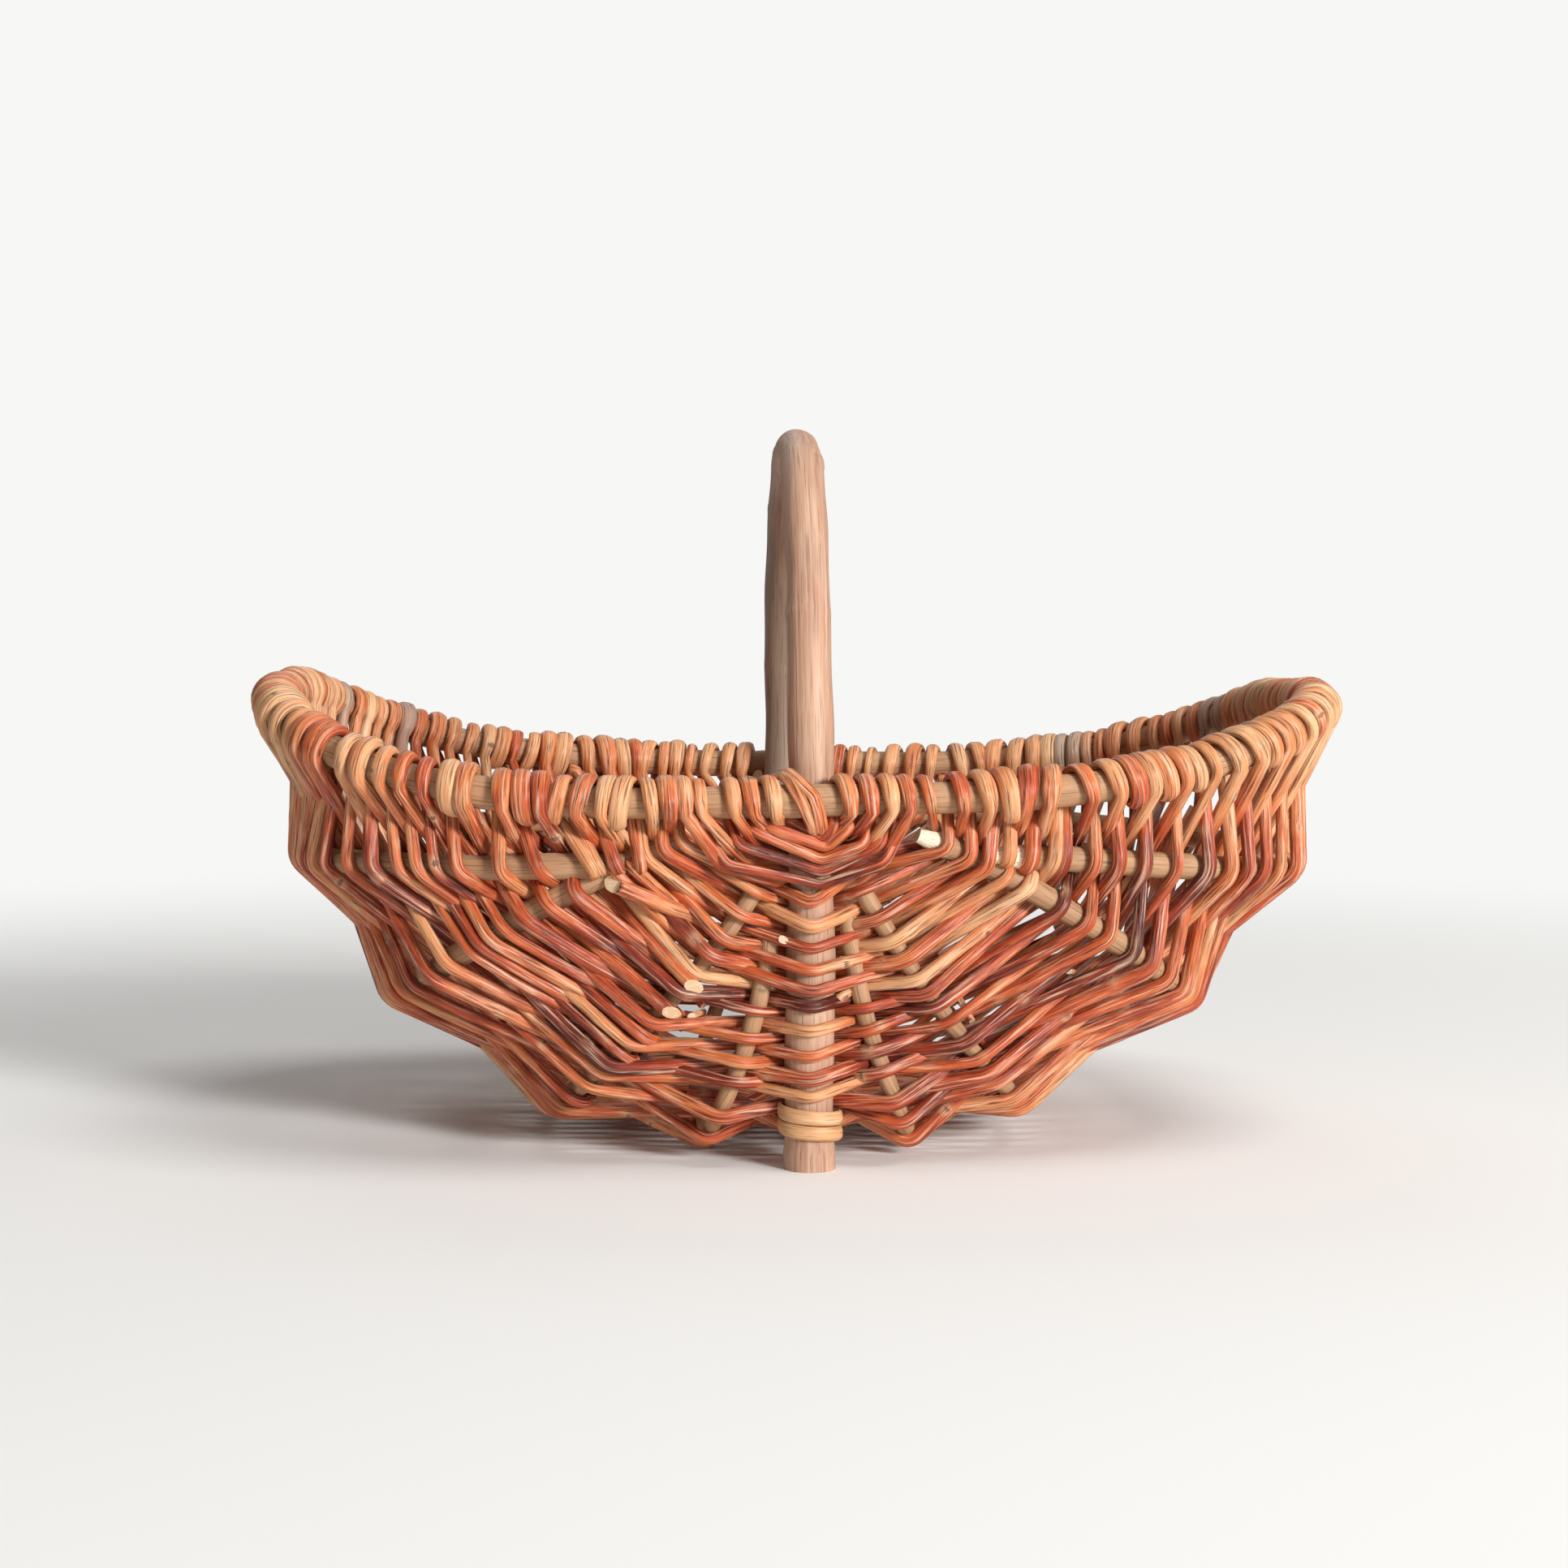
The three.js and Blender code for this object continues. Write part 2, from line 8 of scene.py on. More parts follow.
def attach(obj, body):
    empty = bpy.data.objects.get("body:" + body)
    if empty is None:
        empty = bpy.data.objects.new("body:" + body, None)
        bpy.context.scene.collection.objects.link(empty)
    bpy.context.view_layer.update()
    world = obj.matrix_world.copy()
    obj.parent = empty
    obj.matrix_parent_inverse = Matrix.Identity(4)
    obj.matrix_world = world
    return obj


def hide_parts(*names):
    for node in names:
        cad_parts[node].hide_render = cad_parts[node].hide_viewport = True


# Ribbed willow garden basket. Every weaver is its own rod, laid row by row over and under the ribs.
# Lengths are in millimetres here and become metres when a mesh is made.
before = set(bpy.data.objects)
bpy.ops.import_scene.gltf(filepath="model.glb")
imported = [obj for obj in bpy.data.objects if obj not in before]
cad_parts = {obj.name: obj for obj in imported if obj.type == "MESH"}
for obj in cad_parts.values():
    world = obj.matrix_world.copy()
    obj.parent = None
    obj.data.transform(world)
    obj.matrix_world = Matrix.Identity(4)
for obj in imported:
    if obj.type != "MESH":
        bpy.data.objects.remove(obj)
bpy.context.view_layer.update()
print("frame loaded")

millimetre = 0.001

# The camera of the picture, in millimetres and degrees, for a picture of 1932 x 1932
photoView = {
    "place": (-61.4, -1238.5, 227.8),
    "turn": 2.6,
    "down": 3.51,
    "lens": 62.53,
    "sensor": 36,
    "picture": 1932,
    "nearest": 0.05,    # nearest thing that is shown, in metres
}
photoScale = photoView["lens"] / photoView["sensor"] * photoView["picture"]
photoMiddle = photoView["picture"] / 2


# The ways ahead of the camera, across its picture and up it
def photoAxes():
    turn, down = math.radians(photoView["turn"]), math.radians(photoView["down"])
    ahead = np.array([math.sin(turn) * math.cos(down), math.cos(turn) * math.cos(down), -math.sin(down)])
    across = np.array([math.cos(turn), -math.sin(turn), 0.0])
    return ahead, across, np.cross(across, ahead)


# Where points fall in the picture, in its pixels
def photoPixels(points):
    ahead, across, up = photoAxes()
    away = np.asarray(points, dtype=float) - np.array(photoView["place"])
    scale = photoScale / (away @ ahead)
    return photoMiddle + scale * (away @ across), photoMiddle - scale * (away @ up)


# The point seen at a place in the picture, on the upright plane at that depth
def placeInPicture(column, line, depth):
    ahead, across, up = photoAxes()
    ray = ahead + across * (column - photoMiddle) / photoScale + up * (photoMiddle - line) / photoScale
    start = np.array(photoView["place"])
    return start + ray * (depth - start[1]) / ray[1]


def addCamera():
    ahead, across, up = photoAxes()
    data = bpy.data.cameras.new("photoCamera")
    data.lens = photoView["lens"]
    data.sensor_width = photoView["sensor"]
    data.clip_start = photoView["nearest"]
    camera = bpy.data.objects.new("photoCamera", data)
    rotation = Matrix((across, up, -ahead)).transposed()
    camera.matrix_world = Matrix.Translation(Vector(photoView["place"]) * millimetre) @ rotation.to_4x4()
    bpy.context.scene.collection.objects.link(camera)
    bpy.context.scene.camera = camera


addCamera()


# Sizes of the frame, those of the CAD but for sideLift, leftTip, the left half of rib_1, the heights
# of rib_4's tips and where rib_1 and rib_2 start on the right
hoopShape = {
    "reach": 230, "halfWidth": 140, "squareness": 3.1, "height": 151.5,
    "tipRise": 38, "sweepPower": 3.5, "sideLift": 1.8, "liftPower": 4, "rack": 3.9, "leftTip": 4,
    "leftTipPower": 16, "radius": 6.75, "wander": 0.2,
    "play": 0.1,    # how much slimmer the rod is than the turns on it take it for
}
bowShape = {
    "legY": 123.7, "radius": 9.25, "footRadius": 10.7, "top": 312.5, "spring": 170, "squareness": 2.1,
    "wander": 0.5,
}
keelShape = {"height": 20, "radius": 4.5, "end": 109}
ribSide = 14.03
# A rib's reach and start are parts of the hoop's reach, its width is a part of the hoop's half width
# and its tip's height a part of the hoop's. Side is how far below the hoop its side lies.
ribShapes = [
    {"name": "rib_1", "radius": 5.3, "width": 0.943, "squareness": 3.1,
     "left": {"flare": 1, "reach": 0.932, "tip": 0.822, "side": 0.16, "start": 0.33},
     "right": {"flare": 1, "reach": 0.939, "tip": 0.785, "side": 0.102, "start": 0.318}},
    {"name": "rib_2", "radius": 5.2, "width": 0.925, "squareness": 2.9,
     "left": {"flare": 0.68, "reach": 0.77, "tip": 0.429, "side": 0.03, "start": 0.226},
     "right": {"flare": 0.7, "reach": 0.743, "tip": 0.403, "side": 0.03, "start": 0.187}},
    {"name": "rib_3", "radius": 3.7, "width": 0.907, "squareness": 4,
     "left": {"flare": 1.28, "reach": 0.47, "tip": 0.119, "side": 0.116, "start": 0.096},
     "right": {"flare": 1.28, "reach": 0.409, "tip": 0.112, "side": 0.116, "start": 0.089}},
    {"name": "rib_4", "radius": 3.7, "width": 0.893, "squareness": 8,
     "left": {"flare": 2, "reach": 0.187, "tip": 0.0635, "side": 0.135, "start": 0.0717},
     "right": {"flare": 2, "reach": 0.187, "tip": 0.0635, "side": 0.135, "start": 0.066}},
]


# How many points a line has. Side is for the lines that the rows cross, and search for looking along one.
pointCount = {"leg": 60, "hoop": 900, "rib": 300, "keel": 60, "band": 140, "side": 500, "search": 160}


# A round-cornered oval: cosine and sine stretched so that x^p + y^p = 1
def oval(angle, squareness):
    c, s = np.cos(angle), np.sin(angle)
    size = (np.abs(c) ** squareness + np.abs(s) ** squareness) ** (1 / squareness)
    return c / size, s / size


def hoopPoints(angle):
    c, s = oval(angle, hoopShape["squareness"])
    rise = hoopShape["tipRise"] * np.abs(c) ** hoopShape["sweepPower"] - hoopShape["rack"] * c * s
    rise = rise + hoopShape["sideLift"] * (1 - np.abs(c) ** hoopShape["liftPower"])
    rise = rise + hoopShape["leftTip"] * np.clip(-c, 0, 1) ** hoopShape["leftTipPower"]
    return np.stack([hoopShape["reach"] * c, hoopShape["halfWidth"] * s, hoopShape["height"] + rise], axis=1)


def ribPoints(rib, side, angle):
    half = rib["left" if side < 0 else "right"]
    c, s = oval(angle, rib["squareness"])
    reach = half["reach"] * hoopShape["reach"]
    x = ribSide + (reach - ribSide) * np.abs(c) ** half["flare"]
    sideHeight = hoopShape["height"] * (1 - half["side"])
    z = sideHeight + (hoopShape["height"] * half["tip"] - sideHeight) * np.abs(c)
    return np.stack([side * x, rib["width"] * hoopShape["halfWidth"] * s, z], axis=1)


def bowPoints(count):
    rise = bowShape["top"] - bowShape["radius"] - bowShape["spring"]
    leg = np.linspace(0, bowShape["spring"], count)[:-1]
    near = np.stack([0 * leg, 0 * leg - bowShape["legY"], leg], axis=1)
    c, s = oval(np.linspace(-math.pi / 2, math.pi / 2, 2 * count), bowShape["squareness"])
    arch = np.stack([0 * c, bowShape["legY"] * s, bowShape["spring"] + rise * c], axis=1)
    far = near[::-1] * np.array([1, -1, 1])
    return np.concatenate([near, arch, far])


# The round shape that the bowl comes nearest to
bowlShape = {"halfLength": 230, "halfWidth": 140, "depth": 195, "middle": 165}


# The way out of the bowl at a point
def wayOut(p):
    x = p[..., 0] / bowlShape["halfLength"] ** 2
    y = p[..., 1] / bowlShape["halfWidth"] ** 2
    z = (p[..., 2] - bowlShape["middle"]) / bowlShape["depth"] ** 2
    out = np.stack([x, y, z], axis=-1)
    return out / np.linalg.norm(out, axis=-1, keepdims=True)


def unit(v):
    return v / np.maximum(np.linalg.norm(v, axis=-1, keepdims=True), 1e-9)


# Length along a line up to each of its points
def arcOf(points):
    return np.concatenate([[0], np.cumsum(np.linalg.norm(np.diff(points, axis=0), axis=1))])


# What belongs to a line's points, read off at other lengths along it
def readAt(place, arc, data):
    return np.stack([np.interp(place, arc, data[:, k]) for k in range(data.shape[1])], axis=-1)


# A line of the frame that the rows cross, with lengths measured along it from the ear
class FrameLine:
    def __init__(self, points, radius):
        self.points = points
        self.radius = radius
        self.arc = arcOf(points)
        self.length = self.arc[-1]

    def at(self, place):
        return readAt(place, self.arc, self.points)

    # The line's way, between points 1.5 mm before and after the place
    def tangent(self, place):
        return unit(self.at(place + 1.5) - self.at(place - 1.5))

    # The place at which the line crosses a column of the picture, on its way from the ear to the tip
    def placeAtPixel(self, column, side):
        px = (photoPixels(self.points)[0] - photoMiddle) * side
        furthest = int(np.argmax(px)) + 1
        wanted = (column - photoMiddle) * side
        return float(np.interp(wanted, np.maximum.accumulate(px[:furthest]), self.arc[:furthest]))


# One half's lines on one side, from the ear to the middle plane: hoop, then ribs 1 to 4
def sideLines(end, side):
    angles = np.linspace(end * math.pi / 2, 0, pointCount["side"])
    if side < 0:
        hoop = hoopPoints(math.pi - angles)
    else:
        hoop = hoopPoints(angles)
    lines = [FrameLine(hoop, hoopShape["radius"])]
    for rib in ribShapes:
        lines.append(FrameLine(ribPoints(rib, side, angles), rib["radius"]))
    return lines


# Where the rows cross, read off the near side of the basket. Passes run from rim to rim, from 0 at
# the ear to 47 at the middle. On the left, rods are also packed in between: after these passes one
# goes down to the third rib and one comes back up.
passCount = 48
packing = {
    "after": (19, 21, 23, 25, 31),
    "butts": (19, 21),          # of these, the first rod ends in a butt that shows
    "side": -1,
    "line": 3,
    "stout": 3.1,               # least half thickness of such a butt
    "past": 2,                  # how far it ends past the rib
    "buttBend": 3,
    "return": 4,                # how far inside the rib the next rod starts
    "hairpin": (60, 90, 120),   # the other rods turn round the rib through these angles
    "hairpinGap": 0.3,
}
# Rows are counted from the ear on each side. Each pair is a row and the picture's column where
# it crosses that line. A line without an early row isn't reached by that row.
rowCount = {-1: passCount + 2 * len(packing["after"]), 1: passCount}
crossings = {
    "right": [
        [(0, 1034), (1, 1041), (3, 1073), (5, 1099), (7, 1117), (9, 1140), (11, 1187), (13, 1213),
         (14, 1230), (16, 1262), (18, 1290), (21, 1335), (23, 1371), (25, 1404), (27, 1443), (29, 1482),
         (31, 1508), (33, 1535), (35, 1560)],
        [(15, 1240), (16, 1252), (18, 1281), (20, 1309), (22, 1345), (24, 1371), (26, 1404), (28, 1440),
         (30, 1475), (32, 1501), (34, 1522), (36, 1540), (38, 1556)],
        [(9, 1155), (10, 1166), (12, 1194), (14, 1216), (16, 1239), (18, 1263), (21, 1303), (23, 1335),
         (25, 1359), (27, 1385), (29, 1404), (31, 1424), (33, 1440)],
        [(9, 1046), (11, 1062), (13, 1082), (15, 1099), (17, 1113), (19, 1129), (20, 1141), (22, 1153),
         (24, 1167), (26, 1185), (28, 1201), (30, 1212), (32, 1222)],
    ],
    "left": [
        [(0, 966), (1, 953), (3, 928), (5, 903), (7, 861), (9, 843), (11, 826), (13, 806), (14, 797),
         (16, 747), (18, 714), (21, 668), (23, 618), (25, 567), (27, 530), (29, 505), (31, 480), (33, 456),
         (35, 436), (37, 418), (39, 402), (41, 388), (43, 376), (45, 365)],
        [(15, 792), (16, 775), (18, 750), (20, 738), (22, 667), (24, 621), (26, 571), (28, 547), (30, 527),
         (32, 505), (34, 475), (36, 446), (38, 421)],
        [(10, 838), (14, 795), (18, 759), (21, 711), (23, 678), (25, 653), (27, 629), (29, 610), (31, 599),
         (33, 588), (35, 563), (37, 544), (39, 524)],
        [(9, 942), (11, 931), (13, 910), (15, 892), (17, 875), (19, 858), (20, 850), (22, 838), (24, 822),
         (26, 806), (28, 793), (30, 782), (32, 770), (34, 758), (36, 746), (38, 731), (40, 714), (42, 702)],
    ],
}
# Stretches of the rim, in the picture's columns, where no rod is wound and the bare rod shows
bareRim = {-1: [(870, 890), (590, 604), (537, 545), (410, 419)], 1: [(1150, 1165)]}
# Heights at which passes 0, 2, 4 ... 28 cross the leg. The later ones cross the keel rib, the first
# of them this far from the middle and each of the others one pitch nearer.
legHeights = [139.5, 134.5, 130.4, 125.3, 119.5, 111, 101.5, 92, 83.4, 74.9, 68.3, 58.5, 47.7, 38.5, 31]
lastLegPass = 2 * (len(legHeights) - 1)
keelRows = {"first": 116, "pitch": 6.2}

# The first rows are creased in front of the leg, and again where they turn up to the hoop, at these
# places in the picture and depths. The first rod starts left of the leg: columns, lines and depths.
earWork = {
    "right": {0: (1027, 1014), 1: (1036, 1016), 2: (1045, 1021), 3: (1052, 1030), 4: (1063, 1042),
              5: (1070, 1044), 6: (1083, 1042), 7: (1090, 1052), 8: (1090, 1061)},
    "left": {1: (961, 1014), 2: (950, 1021), 3: (946, 1023), 4: (930, 1024), 5: (931, 1039),
             6: (911, 1042), 7: (916, 1060), 8: (896, 1065), 9: (889, 1066)},
    "middle": {0: (1017, 1034), 2: (1020, 1046), 4: (1012, 1060), 6: (1013, 1074), 8: (1012, 1091)},
    "legDepth": 137,
    "hoopDepths": (141.5, 136.5),   # of even and odd rows
    "bend": 2.5,
    "start": [(962, 1000, -131), (973, 1012, -137)],
    "startBend": 3,
}

# How a weaver is laid
weave = {
    "seeds": {-1: 11, 1: 23},   # of the near and the far half
    "butt": (2.75, 3.55),       # half thickness at the thick end of a rod
    "tip": (1.8, 2.4),          # and at its thin end
    "taper": 1.2,
    "rodLength": (520, 1150),
    "spare": 130,               # with less than this left, a rod is changed at the next rib
    "tone": (0.48, 0.14),       # middle and spread of the rods' tones
    "toneLimits": (0.2, 0.86),
    "greyShare": 0.12,
    "firstRibFrom": 15,         # first row that the first rib reaches
    "lowRibFrom": 20,           # first pass that goes round the lowest rib
    "knee": 4.8,                # length of the bend where a row passes a rib
    "press": 0.75,              # how far the bend stands off, so that it doesn't cut into the rib
    "standOff": 0.4,            # how much further creased rows and thick butts do
    "ridgeRoom": 1.12,          # what its ridges and joints make of a rod's thickness
    "clear": 0.3,               # least height of a rod over the ground
    "step": 2.2,                # distance between rings along a rod
    "sides": 12,
    "jitter": 0.5,              # how far a row strays along a rib
    "wander": 0.3,              # how far a rod sways from its line between the ribs
    "slant": 1.15,              # slope of the cut at a butt end
}

# How it turns back round the hoop
hoopTurn = {
    "pitch": 8.1,               # width of one turn
    "inset": 0.17,              # part of that width that stays free at each end
    "flat": 0.8,                # a turn is pressed to this part of its thickness
    "spread": 1.9,              # and gains this much of the rest in width
    "pressedFrom": 6,           # it is fully pressed from one sixth of its course on
    "outAngle": -28,            # where a row leaves the outside of the hoop, in degrees above level
    "inAngle": 212,             # and its inside
    "step": 18,                 # degrees from knot to knot
    "leastSteps": 10,
    "gap": 0.1,
    "slack": (0, 0.2),          # how loosely it lies on the hoop
    "lean": (-0.5, 0.5),        # how far it leans along the hoop
    "easing": 0.35,             # share of its course that starts and ends slowly
}

# Where a rod's thin end and the next one's thick end lie behind a rib: lengths past and before it,
# how far inside they lie, and the bends
rodJoin = {"tail": 13, "tailInside": 0.5, "lead": 14, "leadInside": 4.2, "bend": 4, "ribBend": 6}

# How a rod varies along its length. Each wave is its height and the limits of its length, over 2 pi.
growth = {
    "sway": ((1, (17, 24)), (0.6, (9, 13))),
    "looseRings": 9,            # the sway fades over this many rings where a rod reaches the hoop
    "tone": ((0.15, (38, 60)), (0.1, (14, 22))),
    "grey": ((0.6, (30, 70)),),
    "greyMiddle": 0.65,
    "wrapHighlightTone": (0.48, 0.58),   # turns on the hoop get a painted highlight, paler where the rim's top catches the light, and more so the darker their rod is
    "wrapHighlightRings": 7,             # which starts over this many rings
    "swell": ((0.03, 17), (0.02, 7.3)),     # of its thickness
    "ridges": ((3, 1, 1), (5, 0.7, -1.7)),  # how many round the rod, how high, and how much they wind
    "twist": 90,                # over this length
    "firstJoint": (5, 30),
    "jointLength": 2.3,
    "jointSize": (0.4, 1.2),    # its height all round, and what the bud adds
    "budTurn": 2.4,             # angle from one bud to the next
    "budStray": 0.4,
    "scars": (0.2, 0.35, 0.6, 1.0),
    "barkStart": 900,           # each rod's bark starts somewhere up to this length
    "barkAside": 40,            # and this far aside from the others' for each radian of its phase
}


# A bend reaches at most this part of the way to the next knot, and is drawn through these steps.
# Points closer than the last number count as one.
bendShape = {"reach": 0.45, "steps": (0, 0.25, 0.5, 0.75, 1), "closest": 1e-4}


# One whole rod as it is laid: points, the way its face looks, half thickness and half width
class Path:
    def __init__(self):
        self.points, self.normals, self.thick, self.wide, self.knee, self.wrap = [], [], [], [], [], []
        self.slant = False

    def add(self, point, normal, thick, wide, knee, wrap=0):
        self.points.append(np.asarray(point, dtype=float))
        self.normals.append(np.asarray(normal, dtype=float))
        self.thick.append(thick)
        self.wide.append(wide)
        self.knee.append(knee)
        self.wrap.append(wrap)

    # Rounds the bends and spreads points evenly along the rod
    def laid(self, step):
        p, n = np.array(self.points), np.array(self.normals)
        facts = np.stack([self.thick, self.wide, self.wrap], axis=1)
        knots = []
        last = len(p) - 1
        for i in range(len(p)):
            if i in (0, last) or self.knee[i] <= 0:
                knots.append((p[i], n[i], facts[i]))
                continue
            before, after = p[i - 1] - p[i], p[i + 1] - p[i]
            a = min(self.knee[i], bendShape["reach"] * np.linalg.norm(before)) * unit(before)
            b = min(self.knee[i], bendShape["reach"] * np.linalg.norm(after)) * unit(after)
            for t in bendShape["steps"]:
                knots.append((p[i] + (1 - t) ** 2 * a + t ** 2 * b, n[i], facts[i]))
        points, normals, values = (np.array(part) for part in zip(*knots))
        keep = np.concatenate([[True], np.diff(arcOf(points)) > bendShape["closest"]])
        points, normals, values = points[keep], normals[keep], values[keep]
        arc = arcOf(points)
        for i in range(1, len(normals)):
            if normals[i] @ normals[i - 1] < 0:
                normals[i] = -normals[i]
        even = np.linspace(0, arc[-1], max(3, int(round(arc[-1] / step)) + 1))
        return even, readAt(even, arc, points), unit(readAt(even, arc, normals)), readAt(even, arc, values)


# Collects tubes and makes one mesh of them
class Bundle:
    def __init__(self):
        self.verts, self.faces, self.cuts, self.grain, self.looks, self.count = [], [], [], [], [], 0

    # Looks are each point's tone, greyness and scar
    def addRings(self, rings, grain, looks, capStart, capEnd):
        n, sides = rings.shape[0], rings.shape[1]
        index = np.arange(n * sides).reshape(n, sides) + self.count
        a, b = index[:-1], np.roll(index, -1, axis=1)[:-1]
        c, d = np.roll(index, -1, axis=1)[1:], index[1:]
        self.faces.append(np.stack([a, b, c, d], axis=-1).reshape(-1, 4))
        self.verts.append(rings.reshape(-1, 3))
        self.grain.append(grain.reshape(-1, 3))
        self.looks.append(looks.reshape(-1, 3))
        self.count += n * sides
        for on, row, way in ((capStart, 0, -1), (capEnd, n - 1, 1)):
            if on:
                self.addCap(rings[row], grain[row], looks[row], way)

    # A cut end: its own ring and a middle, so that the edge stays sharp
    def addCap(self, loop, grain, looks, way):
        sides = len(loop)
        middle = loop.mean(axis=0)
        around = np.arange(sides) + self.count
        hub = self.count + sides
        following = np.roll(around, -1)
        pairs = (around, following) if way > 0 else (following, around)
        self.cuts.append(np.stack([*pairs, np.full(sides, hub)], axis=-1))
        self.verts.append(np.concatenate([loop, middle[None]]))
        self.grain.append(np.concatenate([grain, grain.mean(axis=0)[None]]))
        self.looks.append(np.concatenate([looks, looks[:1]]))
        self.count += sides + 1

    def make(self, name, material, cutMaterial, slot, node):
        verts = np.concatenate(self.verts) * millimetre
        faces = [f for part in self.faces for f in part.tolist()]
        cuts = [f for part in self.cuts for f in part.tolist()]
        mesh = bpy.data.meshes.new(name)
        mesh.from_pydata(verts.tolist(), [], faces + cuts)
        mesh.polygons.foreach_set("use_smooth", [True] * len(faces) + [False] * len(cuts))
        mesh.polygons.foreach_set("material_index", [0] * len(faces) + [1] * len(cuts))
        mesh.attributes.new("grain", "FLOAT_VECTOR", "POINT").data.foreach_set(
            "vector", np.concatenate(self.grain).ravel())
        looks = np.concatenate(self.looks)
        for k, word in enumerate(("tone", "grey", "scar")):
            mesh.attributes.new(word, "FLOAT", "POINT").data.foreach_set("value", looks[:, k].copy())
        mesh.materials.append(material)
        mesh.materials.append(cutMaterial)
        mesh.update()
        piece = bpy.data.objects.new(name, mesh)
        bpy.context.scene.collection.objects.link(piece)
        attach(piece, "root")
        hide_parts(node)


# Rings round a line of points, with the ridges and joints of a willow rod. A joint is a low swelling
# with a bud's scar on one side of it.
def willowRings(arc, points, normals, thick, wide, seed, sides, ridges=0.035, joint=0.09, apart=(30, 85)):
    rng = np.random.default_rng(seed)
    tangents = unit(np.gradient(points, axis=0))
    normals = unit(normals - tangents * np.sum(normals * tangents, axis=1, keepdims=True))
    across = np.cross(tangents, normals)
    angle = np.linspace(0, 2 * math.pi, sides, endpoint=False)
    c, s = np.cos(angle)[None], np.sin(angle)[None]
    phases = rng.uniform(0, 2 * math.pi, 4)
    along = arc[:, None]
    drift = along / growth["twist"]
    waving = [height * np.sin(number * angle + phase + winding * drift)
              for phase, (number, height, winding) in zip(phases, growth["ridges"])]
    shape = 1 + ridges * sum(waving)
    for phase, (height, length) in zip(phases[2:], growth["swell"]):
        shape = shape + height * np.sin(along / length + phase)
    scar = np.zeros_like(shape)
    allRound, atBud = growth["jointSize"]
    at = rng.uniform(*growth["firstJoint"])
    facing = rng.uniform(0, 6)
    while at < arc[-1]:
        near = np.exp(-((along - at) / growth["jointLength"]) ** 2)
        bud = 0.5 + 0.5 * np.cos(angle - facing)
        shape = shape + joint * near * (allRound + atBud * bud ** 3)
        scar = np.maximum(scar, near * bud ** 2 * rng.choice(growth["scars"]))
        at += rng.uniform(*apart)
        facing += growth["budTurn"] + rng.uniform(-growth["budStray"], growth["budStray"])
    up, out = thick[:, None] * shape * c, wide[:, None] * shape * s
    rings = points[:, None] + normals[:, None] * up[..., None] + across[:, None] * out[..., None]
    grown = np.broadcast_to(along + rng.uniform(0, growth["barkStart"]), up.shape)
    grain = np.stack([grown, up + growth["barkAside"] * phases[0], out], axis=-1)
    return rings, grain, scar


# Tone and greyness of each ring, given to all its points beside the scars
def ringLooks(tone, grey, scar):
    flat = np.stack([np.broadcast_to(tone, len(scar)), np.broadcast_to(grey, len(scar))], axis=1)
    return np.concatenate([np.repeat(flat[:, None], scar.shape[1], axis=1), scar[..., None]], axis=2)


